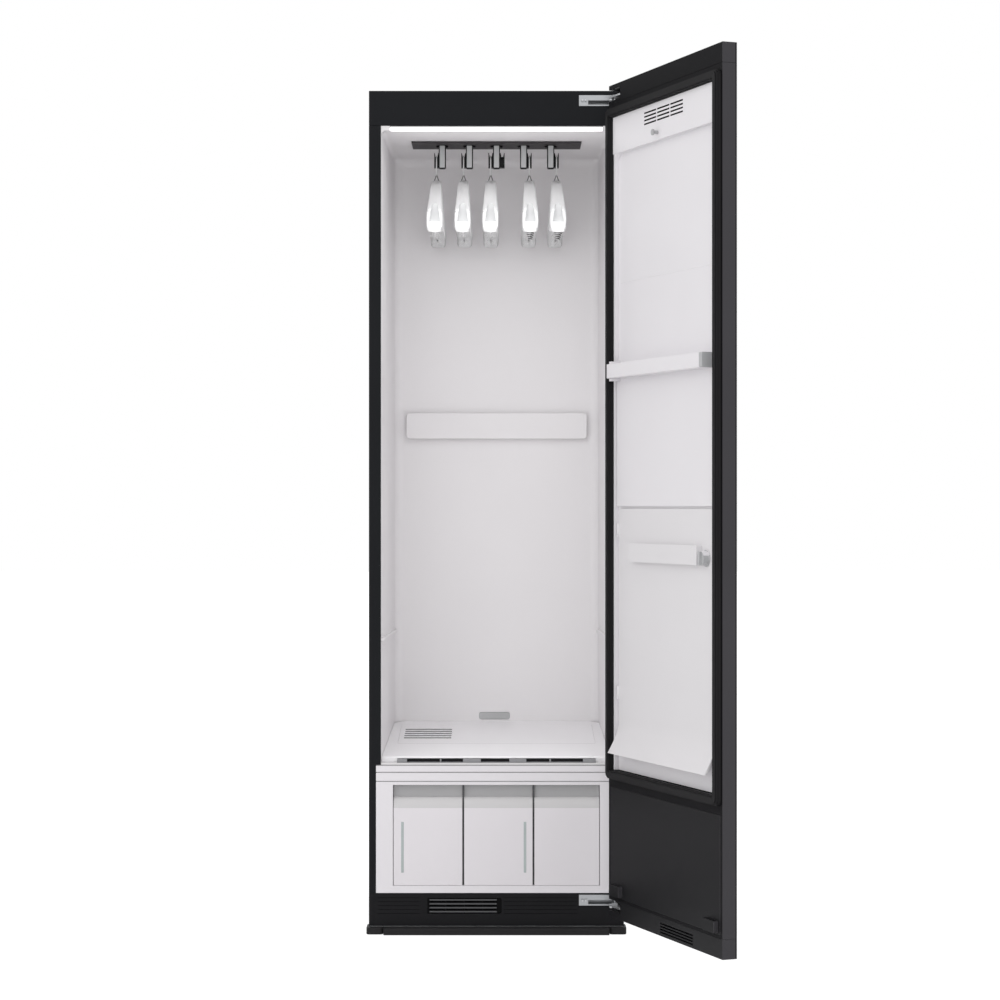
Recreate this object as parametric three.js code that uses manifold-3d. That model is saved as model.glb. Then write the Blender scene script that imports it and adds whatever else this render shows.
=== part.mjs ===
// Clothes care steam cabinet with its full-height door open.
// Millimetres, +Z up, +Y back into the cabinet, +X towards the hinge side. The origin is on the
// floor, under the middle of the cabinet's front face.

import * as THREE from 'three';
import { mergeVertices } from 'three/addons/utils/BufferGeometryUtils.js';
import Module from 'manifold-3d';

// Fits and facets
const seatGap = 0.3;
const pinGap = 0.5;
const overrun = 6;
const quarterSteps = 2;
const circleSides = 16;
const pinSides = 12;
const smallSides = 6;

// Steel shell
const cabinetWidth = 593;
const cabinetHeight = 1960;
const cabinetDepth = 565;
const sheet = 1.2;
const shellFoot = 18;
const stileWidth = 28;
const halfWidth = cabinetWidth / 2;
const mouthHalf = halfWidth - stileWidth;

// Header across the front, above the cavity
const headerHeight = 81;
const headerDepth = 45;
const headerWall = 3;
const headerBottom = cabinetHeight - headerHeight;

// Cavity liner
const ceilingDrop = 11;
const cavityTop = headerBottom - ceilingDrop;
const cavityBehind = 85;
const cavityDepth = cabinetDepth - cavityBehind;
const cavityFloor = 396.5;
const cavityDraft = 12;
const linerWall = 4;
const mouthRadius = 10;
const backRadius = 24;
const linerFlange = 18;
const flangeThickness = 3;
const ledgeLift = 290.5;
const ledgeHeight = cavityFloor + ledgeLift;
const ledgeThickness = 7;
const ledgeReach = 7;
const ledgeShort = 25;
const ledgeEnd = cavityDepth - ledgeShort;
const airHoleInset = 43.5;
const airHoleHalf = mouthHalf - airHoleInset;
const airHoleFront = 60;
const airHoleShort = 40;
const airHoleBack = cavityDepth - airHoleShort;
const outletHalf = 39;
const outletCentre = -5.5;
const outletLift = 60.5;
const outletHeight = 19;
const outletBottom = cavityFloor + outletLift;
const outletTop = outletBottom + outletHeight;

// Light strip behind the header's lower edge
const lightInset = 21.5;
const lightHalf = mouthHalf - lightInset;
const lightFront = 3;
const lightDepth = 11;
const lightHeight = 9.5;

// Hanger rail in the ceiling
const railInset = 65;
const railHalf = mouthHalf - railInset;
const hookBehind = 253;
const hookDepth = cavityDepth - hookBehind;
const railAhead = 55;
const railBehind = 54;
const railFront = hookDepth - railAhead;
const railBack = hookDepth + railBehind;
const railThickness = 4;
const railChamfer = 2;
const hookCount = 5;
const railEndRoom = 72.7;
const hookPitch = (2 * (railHalf - railEndRoom)) / (hookCount - 1);
const turntableRadius = 15;
const turntableProud = 1;
const stemRadius = 6;
const collarRadius = 11;
const collarThickness = 3;
const driveThickness = 8;
const driveHalfDepth = 25;
const motorRadius = 24;
const motorHeight = 56;

// Hook bars and their side cradles
const hookWidth = 17;
const hookDepthSize = 28;
const hookDrop = 59.6;
const hookCorner = 4;
const hookNose = 10;
const cradleWidth = 11;
const cradleTop = 22;
const cradleBottom = 57;
const saddleRadius = 9.2;
const saddleTop = 30;
const slotWidth = 5;
const slotMouth = 8.4;

// Hangers
const wireRadius = 1.5;
const wireTail = 7;
const wireDrop = 19;
const neckHeight = 33;
const neckTop = 76;
const forkHalf = 8;
const forkWire = 1.3;
const hangerEndRoom = 40;
const hangerHalf = hookDepth - hangerEndRoom;
const hubWidth = 25;
const hubHeight = 26;
const hubTop = 87;
const shoulderWidth = 39;
const shoulderHeight = 58;
const shoulderBottom = 232;
const armFullness = 0.45;
const scoopTop = 160;
const scoopFoot = 207;
const scoopNeck = 7.5;
const scoopHalf = 12.5;
const scoopShare = 0.79;
const scoopBack = hangerHalf * scoopShare;
const scoopLip = 5;
const trouserRodRadius = 2;
const trouserRodShare = 0.95;
const trouserRodHalf = hangerHalf * trouserRodShare;
const trouserRodLift = 10;
const clipShare = 0.535;
const clipPlace = trouserRodHalf * clipShare;
const clipWidth = 30;
const clipThickness = 3;
const clipRise = 4;
const clipDrop = 12;

// Bar on the cavity's back wall
const rearBarInset = 41.5;
const rearBarHalf = mouthHalf - rearBarInset;
const rearBarBottom = 1163;
const rearBarHeight = 65;
const rearBarTop = rearBarBottom + rearBarHeight;
const rearBarThickness = 18;
const rearBarRadius = 9;

// Sloped floor with its lift-out filter
const rampFront = 26;
const rampFrontLift = 12.5;
const rampRise = 44;
const rampFrontHeight = cavityFloor + rampFrontLift;
const rampBackHeight = rampFrontHeight + rampRise;
const rampWall = 4;
const rampNose = 2.5;
const filterInset = 31.5;
const filterHalf = mouthHalf - filterInset;
const filterFront = 162;
const filterShort = 70;
const filterBack = cavityDepth - filterShort;
const filterPlate = 3;
const filterLip = 7;
const filterDepth = 16;
const filterWall = 2.5;
const grilleInset = 12;
const grilleLeft = filterHalf - grilleInset;
const grilleRight = 110;
const grilleFront = 226;
const grilleShort = 46;
const grilleBack = filterBack - grilleShort;
const grilleSlots = 5;
const grilleSlotShare = 0.45;

// Air slot under the ramp's front edge
const slotInset = 37;
const slotHalf = mouthHalf - slotInset;
const slotFront = 6;
const slotDepth = 12;
const slotHeight = 8.3;
const slotRail = 1.2;
const slotMouths = [[-0.9, -0.568], [-0.554, -0.336], [-0.157, 0.13], [0.301, 0.534], [0.549, 0.872]];

// White lower frame and its three compartments
const frameInset = 16.5;
const frameHalf = halfWidth - frameInset;
const frameBottom = 94.4;
const frameThickness = 12;
const bayInset = 39.5;
const bayHalf = frameHalf - bayInset;
const bayBottom = 111.6;
const bayDrop = 50.9;
const bayTop = cavityFloor - bayDrop;
const bayBehind = 265;
const bayDepth = cabinetDepth - bayBehind;
const bayWall = 4;
const containerShare = 0.3397;
const containerPitch = bayHalf * 2 * containerShare;
const dividerWall = 2;
const sealGroove = 2;
const sealGrooveDepth = 1.6;
const sealGrooveDrops = [42.6, 21.5, 5.2];

// Containers
const containerGap = 0.8;
const containerFront = 1.5;
const containerWall = 3;
const containerShort = 15;
const containerDepth = bayDepth - containerShort;
const containerDrop = 27.6;
const containerTop = bayTop - containerDrop;
const fingerBandHeight = 28;
const fingerBandDepth = 14;
const scoopHeight = 25;

// Black fascia with its air louvre
const fasciaThickness = 3;
const fasciaDepth = 26;
const louvreLeft = -160;
const louvreRight = 10;
const louvreBottom = 46.5;
const louvreTop = 83;
const louvreSlats = 4;
const slatShare = 0.3;
const slatThickness = 3.3;
const slatDepth = 14;
const slatRise = 5;
const ribLeft = [-275.6, -178.5];
const ribRight = [18, 188];
const ribHeight = 0.8;
const ribDepth = 0.8;

// Plinth
const plinthHeight = 16;
const plinthInset = 34.5;
const plinthHalf = halfWidth - plinthInset;
const plinthFront = 24;
const plinthBack = 12;
const plinthChamfer = 3;
const cornerProud = 5.5;
const cornerHalf = halfWidth + cornerProud;
const cornerFront = 14;
const cornerBack = 42;
const cornerRadius = 8;

// Base pan and feet
const panHeight = 44;
const panWall = 1.6;
const footRadius = 18;
const footPad = 8;
const footStem = 6;
const footInset = 42;
const footFront = 66;
const footBack = 50;
const footRear = cabinetDepth - footBack;

// Machine room
const compressorInset = 96.5;
const compressorX = compressorInset - halfWidth;
const compressorBehind = 115;
const compressorY = cabinetDepth - compressorBehind;
const compressorRadius = 58;
const compressorHeight = 150;
const compressorDome = 24;
const compressorPlate = 5;
const exchangerGap = 27;
const exchangerLeft = compressorX + compressorRadius + exchangerGap;
const exchangerRight = 55;
const exchangerAhead = 220;
const exchangerDepth = 95;
const exchangerFront = cabinetDepth - exchangerAhead;
const exchangerBack = exchangerFront + exchangerDepth;
const exchangerHeight = 190;
const finCount = 7;
const finThickness = 1.6;
const tubeRadius = 5;
const tubeRows = 2;
const fanInset = 121.5;
const fanX = halfWidth - fanInset;
const fanZ = 122;
const fanAhead = 103;
const fanDepth = 78;
const fanFront = cabinetDepth - fanAhead;
const fanBack = fanFront + fanDepth;
const fanRadius = 92;
const fanInlet = 52;
const fanWall = 3;
const impellerRadius = 68;
const impellerBore = 48;
const impellerWidth = 46;
const impellerDisc = 3;
const impellerHub = 16;
const impellerShaft = 6;
const bladeCount = 14;
const bladeThickness = 3;
const fanPostWidth = 60;
const boilerHalf = 50;
const boilerMiddle = (compressorX + compressorRadius + fanX - fanRadius) / 2;
const boilerLeft = boilerMiddle - boilerHalf;
const boilerRight = boilerMiddle + boilerHalf;
const boilerFront = fanFront;
const boilerBack = fanBack;
const boilerHeight = 74;
const boilerRadius = 12;
const steamPipeHalf = 12;
const steamPipeAhead = 67;
const steamPipeDepth = 18;
const steamPipeFront = cabinetDepth - steamPipeAhead;
const steamPipeBack = steamPipeFront + steamPipeDepth;
const controlLeft = -190;
const controlRight = -10;
const controlAhead = 235;
const controlDepth = 120;
const controlFront = cabinetDepth - controlAhead;
const controlBack = controlFront + controlDepth;
const controlHeight = 48;

// Back panel
const swageHalf = 30;
const swageReach = 190;
const swageDepth = 3;
const swageEnd = 90;

// Door, sized as it stands closed. It turns about one upright axis by its open angle.
const doorOverhang = 1.5;
const doorWidth = cabinetWidth + doorOverhang + doorOverhang;
const doorBottom = 51;
const doorThickness = 34.5;
const doorStandoff = 14.5;
const doorAxisInset = 3;
const doorAxisAhead = 52;
const doorOpenDegrees = 110.8;
const doorSkin = 4;
const doorWall = 8;
const doorFace = 3;
const topCapHeight = 43;
const bottomCapHeight = 42;
const linerEdge = 28;
const linerDrop = 5.5;
const linerBottom = cavityFloor - linerDrop;
const linerTopDrop = 77;
const linerTop = cabinetHeight - linerTopDrop;
const crossRail = 40;
const lowerPanelTop = linerBottom - crossRail;
const lowerPanelThickness = 4;
const doorSlotStart = 280;
const doorSlotMargin = 145;
const doorSlotEnd = doorWidth - doorSlotMargin;
const doorSlotCount = 4;
const doorSlotBottom = 58;
const doorSlotPitch = 6.4;
const doorSlotHeight = 3.2;
const bumperInset = 22;
const bumperLength = 54;
const bumperBottom = 103;
const bumperTop = 129;
const bumperProud = 10;

// Door seal
const sealInset = 5;
const sealWidth = 22;
const sealHeight = 13.4;
const sealRadius = 14;
const sealRadiusShare = 0.6;
const sealSteps = [[0, 0.5], [0.12, 0.82], [0.34, 1]];

// Door liner: raised top band with vents over a shallow pan
const panDepth = 9.5;
const panFloor = 5;
const panRim = 7;
const bandHeight = 84;
const bandBottom = linerTop - bandHeight;
const bandProud = 2;
const panRadius = 26;
const ventStart = 203;
const ventMargin = 190;
const ventEnd = doorWidth - ventMargin;
const ventGroups = 3;
const ventRows = 4;
const ventDrop = 42;
const ventBottom = linerTop - ventDrop;
const ventPitch = 8.2;
const ventHeight = 3.6;
const ventGap = 5;
const pegPlace = 276;
const pegDrop = 68;
const pegHeight = linerTop - pegDrop;
const pegRadius = 4;
const pegRim = 7;
const pegRimThickness = 3;
const pegReach = 16;
const creaseDrop = 295;
const creaseHeight = bandBottom - creaseDrop;
const creaseSize = 2.4;

// Trouser press on the door
const pressStart = 40;
const pressEnd = doorWidth - pressStart;
const plateDrop = 149;
const plateTop = (linerBottom + linerTop) / 2 - plateDrop;
const panelGap = 6;
const backPanelHeight = 336;
const backPanelBottom = plateTop + panelGap;
const backPanelTop = backPanelBottom + backPanelHeight;
const backPanelThickness = 6;
const clampDrop = 13;
const clampHeight = 32;
const clampTop = backPanelTop - clampDrop;
const clampBottom = clampTop - clampHeight;
const clampMargin = 44;
const clampFar = doorWidth - clampMargin;
const clampReach = 27;
const clampPin = 53;
const clampPinRadius = 3;
const clampEar = 6;
const clampWall = 3;
const capLength = 14;
const plateStart = 46;
const plateMargin = 36;
const plateEnd = doorWidth - plateMargin;
const plateThickness = 4;
const plateLow = 41;
const plateBottom = linerBottom + plateLow;
const flareHeight = 80;
const flareStart = plateBottom + flareHeight;
const flareReach = 25;
const flareSteps = 6;
const plateLift = 1.2;
const knuckleRadius = 4.2;
const knucklePin = 2;
const knuckleLength = 24;
const knuckleEar = 7;
const knuckleEarHalf = 3;
const knuckleUp = 128;
const knuckleDown = 58;
const knuckleLow = plateBottom + knuckleUp;
const knuckleHigh = plateTop - knuckleDown;
const railStart = 133;
const railMargin = 108;
const railEnd = doorWidth - railMargin;
const railDrop = 77;
const railHeight = 42;
const railHigh = plateTop - railDrop;
const railLow = railHigh - railHeight;
const railReach = 9;
const railCorner = 3;
const knobMargin = 85;
const knobPlace = doorWidth - knobMargin;
const knobDrop = 104;
const knobHeight = plateTop - knobDrop;
const knobRadius = 15.5;
const knobReach = 15;
const knobCollar = 2;
const knobCollarRadius = 18;
const knobGripWidth = 9;
const knobGripDepth = 5;

// Concealed hinges
const hingeTopDrop = 23;
const hingeHigh = cabinetHeight - hingeTopDrop;
const hingeLow = 78;
const hingeHeight = 25;
const hingeWall = 3;
const hingeStart = 104.5;
const hingeEnd = 8;
const hingeLeft = halfWidth - hingeStart;
const hingeRight = halfWidth - hingeEnd;
const hingeProud = 1.5;
const hingeDeep = 38;
const armPinInset = 20.5;
const armPinAhead = 2;
const cupPinInset = 48;
const cupPinDepth = 10.5;
const hingePin = 3;
const armHalfWidth = 7;
const armThickness = 4;
const armDrop = 9;
const linkLift = 0.5;
const hingePlate = 2;
const screwHole = 2.6;
const screwHoles = [8, 16];
const pocketEnd = 63;
const pocketDepth = 21.5;
const pocketHeight = 26;
const cupStart = 35;
const cupEnd = 61;
const cupWall = 2.5;

// Sizes worked out from the ones above
const frameTop = cavityFloor - linerWall - seatGap;
const panFloorTop = plinthHeight + seatGap + panWall;
const machineFloor = panFloorTop + seatGap;
const pitchLines = [-bayHalf, containerPitch - bayHalf, containerPitch + containerPitch - bayHalf, bayHalf];
const doorEdge = doorWidth / 2;
const doorInner = -doorStandoff;
const doorOuter = doorInner - doorThickness;
const doorAxisX = doorEdge - doorAxisInset;
const doorOpen = THREE.MathUtils.degToRad(doorOpenDegrees);
const doorTrayFront = doorOuter + doorSkin + seatGap;

const wasm = await Module();
wasm.setup();

// A closed three.js geometry as a solid that can be joined and cut.
function solidOf(geometry) {
  const plain = geometry.clone();
  plain.deleteAttribute('normal');
  plain.deleteAttribute('uv');
  const merged = mergeVertices(plain);
  return new wasm.Manifold(new wasm.Mesh({
    numProp: 3,
    vertProperties: new Float32Array(merged.attributes.position.array),
    triVerts: new Uint32Array(merged.index.array),
  }));
}

// A solid back as a three.js geometry.
function geometryOf(solid) {
  const { vertProperties, triVerts } = solid.getMesh();
  const geometry = new THREE.BufferGeometry();
  geometry.setAttribute('position', new THREE.BufferAttribute(vertProperties, 3));
  geometry.setIndex(new THREE.BufferAttribute(triVerts, 1));
  geometry.computeVertexNormals();
  return geometry;
}

// A box between two places on each axis, turned by a matrix where one is given.
function block(x, y, z, turn) {
  const spans = [x, y, z];
  const sizes = spans.map(([low, high]) => high - low);
  const middles = spans.map(([low, high]) => (low + high) / 2);
  const geometry = new THREE.BoxGeometry(...sizes).translate(...middles);
  return solidOf(turn ? geometry.applyMatrix4(turn) : geometry);
}

// Turns that stand an outline's plane square to an axis.
const standing = {
  x: new THREE.Matrix4().set(0, 0, 1, 0, 1, 0, 0, 0, 0, 1, 0, 0, 0, 0, 0, 1),
  y: new THREE.Matrix4().set(1, 0, 0, 0, 0, 0, -1, 0, 0, 1, 0, 0, 0, 0, 0, 1),
  z: new THREE.Matrix4(),
};

// An outline in YZ, XZ or XY, extruded along the axis that is left.
function prism(outline, axis, [from, to]) {
  const shape = outline instanceof THREE.Shape
    ? outline
    : new THREE.Shape(outline.map(([a, b]) => new THREE.Vector2(a, b)));
  const geometry = new THREE.ExtrudeGeometry(shape, {
    depth: to - from,
    bevelEnabled: false,
    curveSegments: quarterSteps,
  });
  geometry.translate(0, 0, axis === 'y' ? -to : from);
  return solidOf(geometry.applyMatrix4(standing[axis]));
}

function circle([a, b], radius, sides = circleSides) {
  return Array.from({ length: sides }, (_, i) => {
    const angle = (i * 2 * Math.PI) / sides;
    return [a + radius * Math.cos(angle), b + radius * Math.sin(angle)];
  });
}

function roundedRectangle([a0, a1], [b0, b1], radius) {
  const shape = new THREE.Shape();
  shape.moveTo(a0 + radius, b0);
  shape.lineTo(a1 - radius, b0);
  shape.absarc(a1 - radius, b0 + radius, radius, -Math.PI / 2, 0);
  shape.lineTo(a1, b1 - radius);
  shape.absarc(a1 - radius, b1 - radius, radius, 0, Math.PI / 2);
  shape.lineTo(a0 + radius, b1);
  shape.absarc(a0 + radius, b1 - radius, radius, Math.PI / 2, Math.PI);
  shape.lineTo(a0, b0 + radius);
  shape.absarc(a0 + radius, b0 + radius, radius, Math.PI, Math.PI * 1.5);
  return shape;
}

// A bar outline with round ends, from the origin along +X.
function roundEndedBar(length, radius) {
  const shape = new THREE.Shape();
  shape.moveTo(0, -radius);
  shape.lineTo(length, -radius);
  shape.absarc(length, 0, radius, -Math.PI / 2, Math.PI / 2);
  shape.lineTo(0, radius);
  shape.absarc(0, 0, radius, Math.PI / 2, Math.PI * 1.5);
  return shape;
}

// A closed skin over loops of points, with flat ends.
function loft(loops) {
  const count = loops[0].length;
  const points = loops.flat();
  const index = [];
  for (let row = 0; row + 1 < loops.length; row += 1) {
    for (let i = 0; i < count; i += 1) {
      const a = row * count + i;
      const b = row * count + ((i + 1) % count);
      index.push(a, b, b + count, a, b + count, a + count);
    }
  }
  const last = points.length - count;
  for (let i = 1; i + 1 < count; i += 1) {
    index.push(0, i + 1, i, last, last + i, last + i + 1);
  }
  const volume = index.reduce((sum, _, i) => {
    if (i % 3 > 0) return sum;
    const [a, b, c] = [index[i], index[i + 1], index[i + 2]].map((n) => points[n]);
    return sum + a.dot(b.clone().cross(c));
  }, 0);
  const geometry = new THREE.BufferGeometry().setFromPoints(points);
  geometry.setIndex(volume > 0 ? index : index.reverse());
  return solidOf(geometry);
}

// A round wire along a curve.
function wire(curve, radius, steps, sides) {
  const section = new THREE.Shape(circle([0, 0], radius, sides).map(([a, b]) => new THREE.Vector2(a, b)));
  return solidOf(new THREE.ExtrudeGeometry(section, { steps, extrudePath: curve, bevelEnabled: false }));
}

function joined(solids) {
  return solids.reduce((whole, solid) => whole.add(solid));
}

function cut(solid, cutters) {
  return cutters.reduce((rest, cutter) => rest.subtract(cutter), solid);
}

function material(color, roughness, metalness) {
  return new THREE.MeshStandardMaterial({ color, roughness, metalness });
}

const finish = {
  charcoal: material(0x2a2b2e, 0.45, 0.3),
  charcoalPlastic: material(0x1b1c1e, 0.55, 0),
  doorEdge: material(0x424044, 0.5, 0.2),
  whitePlastic: material(0xe6e4e4, 0.4, 0),
  lightLens: material(0xffffff, 0.3, 0),
  darkPlastic: material(0x2c2a2b, 0.5, 0),
  hookGrey: material(0xa9aaab, 0.45, 0.1),
  hangerWhite: material(0xf2f2f3, 0.3, 0),
  rubber: material(0x141415, 0.8, 0),
  castSteel: material(0xb9bbbd, 0.3, 0.9),
  zincSteel: material(0x9a9c9f, 0.45, 0.8),
  aluminium: material(0xc9cbce, 0.35, 0.9),
  boardGreen: material(0x3c4744, 0.6, 0),
};

const cabinet = new THREE.Group();

function place(group, name, solid, look) {
  const mesh = new THREE.Mesh(geometryOf(solid), look);
  mesh.name = name;
  group.add(mesh);
  return mesh;
}

// Openings in the front for the two recessed hinge housings.
function hingeCutout(height) {
  return block(
    [hingeLeft - seatGap, hingeRight + seatGap],
    [-overrun, hingeDeep + overrun],
    [height - hingeHeight / 2 - seatGap, height + hingeHeight / 2 + seatGap],
  );
}

// Bent steel: two sides and a top, with a stile turned in on each side of the front.
function outerCasing() {
  const outside = block([-halfWidth, halfWidth], [0, cabinetDepth], [shellFoot, cabinetHeight]);
  const inside = block(
    [sheet - halfWidth, halfWidth - sheet],
    [sheet, cabinetDepth + overrun],
    [shellFoot - overrun, cabinetHeight - sheet],
  );
  const mouth = block(
    [-mouthHalf, mouthHalf],
    [-overrun, sheet + overrun],
    [shellFoot - overrun, headerBottom],
  );
  const header = block(
    [-halfWidth - overrun, halfWidth + overrun],
    [-overrun, headerDepth + seatGap],
    [headerBottom - seatGap, cabinetHeight + overrun],
  );
  const lowerFrame = block(
    [-frameHalf - seatGap, frameHalf + seatGap],
    [-overrun, sheet + overrun],
    [frameBottom - overrun, frameTop + seatGap],
  );
  const fasciaRoom = block(
    [-halfWidth - overrun, halfWidth + overrun],
    [-overrun, fasciaThickness + seatGap],
    [0, frameBottom],
  );
  return cut(outside, [inside, mouth, header, lowerFrame, fasciaRoom]);
}

function backPanel() {
  const half = halfWidth - sheet - seatGap;
  const faces = [cabinetDepth - sheet, cabinetDepth];
  const sheetPanel = block([-half, half], faces, [shellFoot, cabinetHeight - sheet - seatGap]);
  const swage = (side, inset, y) => block(
    [side * swageReach - swageHalf + inset, side * swageReach + swageHalf - inset],
    y,
    [shellFoot + swageEnd + inset, cabinetHeight - swageEnd - inset],
  );
  const swages = [-1, 1].map((side) => swage(side, 0, [faces[0] - swageDepth, faces[0] + sheet / 2]));
  const grooves = [-1, 1].map((side) => swage(side, sheet, [faces[1] - swageDepth, faces[1] + overrun]));
  return cut(joined([sheetPanel, ...swages]), grooves);
}

// Cap over the front of the roof, open behind, with a window for the upper hinge.
function headerPanel() {
  const outside = block([-halfWidth, halfWidth], [0, headerDepth], [headerBottom, cabinetHeight]);
  const inside = block(
    [headerWall - halfWidth, halfWidth - headerWall],
    [headerWall, headerDepth + overrun],
    [headerBottom + headerWall, cabinetHeight - headerWall],
  );
  return cut(outside, [inside, hingeCutout(hingeHigh)]);
}

// One loop of the cavity at a depth, with round upper corners, grown by a wall.
function cavityLoop(y, draft, inset, radius, grow) {
  const half = mouthHalf + grow - draft - inset;
  const high = cavityTop + grow - inset;
  const corners = [[half - radius, high - radius, 0], [radius - half, high - radius, 1]];
  const upper = corners.flatMap(([x, z, quarter]) => Array.from({ length: quarterSteps * 2 + 1 }, (_, i) => {
    const angle = (quarter + i / (quarterSteps * 2)) * (Math.PI / 2);
    return new THREE.Vector3(x + radius * Math.cos(angle), y, z + radius * Math.sin(angle));
  }));
  const floor = cavityFloor - grow;
  return [...upper, new THREE.Vector3(-half, y, floor), new THREE.Vector3(half, y, floor)];
}

// The cavity's form: drafted walls that turn into the back wall on a round corner.
function cavityForm(front, back, grow) {
  const bend = cavityDepth - backRadius;
  const draft = (cavityDraft * bend) / cavityDepth;
  const loops = [cavityLoop(front, 0, 0, mouthRadius, grow)];
  const corner = quarterSteps * 2;
  for (let i = 0; i <= corner; i += 1) {
    const angle = (i / corner) * (Math.PI / 2);
    const y = bend + (back - bend) * Math.sin(angle);
    const inset = backRadius * (1 - Math.cos(angle));
    loops.push(cavityLoop(y, draft, inset, mouthRadius, grow));
  }
  return loft(loops);
}

// Moulded cavity: open front, holes for air, steam and the hooks' stems, a ledge on each side wall.
function cavityLiner() {
  const front = sheet + seatGap;
  const flange = prism(
    roundedRectangle(
      [-mouthHalf - linerFlange, mouthHalf + linerFlange],
      [cavityFloor - linerWall, headerBottom - seatGap],
      mouthRadius,
    ),
    'y',
    [front, front + flangeThickness],
  );
  const outside = cavityForm(front, cavityDepth + linerWall, linerWall).add(flange);
  const inside = cavityForm(front - overrun, cavityDepth, 0);
  const lightRoom = block(
    [-lightHalf - seatGap, lightHalf + seatGap],
    [0, lightFront + lightDepth + seatGap],
    [cavityTop - seatGap, headerBottom],
  );
  const airHole = block(
    [-airHoleHalf, airHoleHalf],
    [airHoleFront, airHoleBack],
    [cavityFloor - overrun, cavityFloor + seatGap],
  );
  const outlet = prism(
    roundedRectangle(
      [outletCentre - outletHalf, outletCentre + outletHalf],
      [outletBottom, outletTop],
      overrun,
    ),
    'y',
    [cavityDepth - overrun, cavityDepth + overrun + overrun],
  );
  const stems = hookPlaces().map((x) => prism(
    circle([x, hookDepth], stemRadius + stemRadius / 2),
    'z',
    [cavityTop - overrun, cavityTop + linerWall + overrun],
  ));
  const ledges = [-1, 1].map((side) => prism(
    [[side * (mouthHalf + linerWall / 2), front + flangeThickness],
      [side * (mouthHalf - ledgeReach), front + flangeThickness],
      [side * (mouthHalf - cavityDraft - ledgeReach), ledgeEnd],
      [side * (mouthHalf - cavityDraft + linerWall / 2), ledgeEnd]],
    'z',
    [ledgeHeight - ledgeThickness, ledgeHeight],
  ));
  return joined([cut(outside, [inside, lightRoom, airHole, outlet, ...stems]), ...ledges]);
}

function lightStrip() {
  return prism(
    roundedRectangle(
      [-lightHalf, lightHalf],
      [headerBottom - seatGap - lightHeight, headerBottom - seatGap],
      lightHeight / 4,
    ),
    'y',
    [lightFront, lightFront + lightDepth],
  );
}

function hookPlaces() {
  return Array.from({ length: hookCount }, (_, i) => (i - (hookCount - 1) / 2) * hookPitch);
}

// Plate under the ceiling with a round seat for each hook's turntable.
function hangerRailPlate() {
  const top = cavityTop - seatGap;
  const low = top - railThickness;
  const profile = [[railFront, top], [railFront, low + railChamfer], [railFront + railChamfer, low],
    [railBack - railChamfer, low], [railBack, low + railChamfer], [railBack, top]];
  const seats = hookPlaces().map((x) => prism(
    circle([x, hookDepth], turntableRadius + pinGap),
    'z',
    [low - overrun, top + overrun],
  ));
  return cut(prism(profile, 'x', [-railHalf, railHalf]), seats);
}

// Bearing bar over the ceiling that carries the hooks' collars, with the motor at one end.
function hangerDrive() {
  const low = cavityTop + linerWall + seatGap;
  const bar = block([-railHalf, railHalf], [hookDepth - driveHalfDepth, hookDepth + driveHalfDepth],
    [low, low + driveThickness]);
  const holes = hookPlaces().map((x) => prism(
    circle([x, hookDepth], stemRadius + pinGap),
    'z',
    [low - overrun, low + driveThickness + overrun],
  ));
  const motor = prism(
    circle([railHalf - motorRadius, hookDepth], motorRadius),
    'z',
    [low, low + driveThickness + motorHeight],
  );
  return cut(bar, holes).add(motor);
}

// A cradle beside a hook bar: two prongs with a slot between them over a round saddle.
function cradle(side) {
  const near = hookWidth / 2 - pinGap;
  const far = hookWidth / 2 + cradleWidth;
  const middle = (hookWidth / 2 + far) / 2;
  const span = side < 0 ? [-far, -near] : [near, far];
  const body = block(span, [-saddleRadius, saddleRadius], [-cradleBottom, -cradleTop]);
  const saddleCentre = -saddleTop - saddleRadius;
  const notch = prism(
    [[side * middle - slotWidth / 2, saddleCentre], [side * middle + slotWidth / 2, saddleCentre],
      [side * middle + slotWidth / 2, -saddleTop], [side * middle + slotMouth / 2, -cradleTop + overrun / 4],
      [side * middle - slotMouth / 2, -cradleTop + overrun / 4], [side * middle - slotWidth / 2, -saddleTop]],
    'y',
    [-saddleRadius - overrun, saddleRadius + overrun],
  );
  const saddle = prism(circle([0, saddleCentre], saddleRadius), 'x', span);
  return body.subtract(notch).add(saddle);
}

// Hook bar on its turntable and stem. Its own origin is on the ceiling, on the turning axis.
function hook(sides) {
  const plateTop = -seatGap;
  const discLow = plateTop - railThickness - turntableProud;
  const collarLow = linerWall + seatGap + driveThickness + seatGap;
  const turntable = prism(circle([0, 0], turntableRadius), 'z', [discLow, plateTop - seatGap]);
  const stem = prism(circle([0, 0], stemRadius), 'z', [discLow, collarLow + collarThickness]);
  const collar = prism(circle([0, 0], collarRadius), 'z', [collarLow, collarLow + collarThickness]);
  const face = prism(
    roundedRectangle([-hookWidth / 2, hookWidth / 2], [-hookDrop, discLow + hookCorner], hookCorner),
    'y',
    [-hookDepthSize / 2, hookDepthSize / 2],
  );
  const side = prism(
    roundedRectangle([-hookDepthSize / 2, hookDepthSize / 2], [-hookDrop, discLow + hookNose], hookNose),
    'x',
    [-hookWidth, hookWidth],
  );
  const bar = face.intersect(side);
  const above = block(
    [-hookWidth, hookWidth],
    [-hookWidth, hookWidth],
    [discLow + turntableProud / 2, hookDrop],
  );
  return joined([turntable, stem, collar, bar.subtract(above), ...sides.map(cradle)]);
}

// Shares along a hanger's arm from its hub, with how far each section drops and how wide and tall
// it is between the hub's size and the shoulder's.
const armShares = [0, 0.25, 0.5, 0.75, 0.88, 0.96, 1];
const dropShares = [0, 0.16, 0.42, 0.74, 0.91, 1, 1];
const widthShares = [0, 0.25, 0.5, 0.78, 0.95, 1, 0.8];
const heightShares = [0, 0, 0.1, 0.4, 0.85, 1, 0.6];

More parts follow.
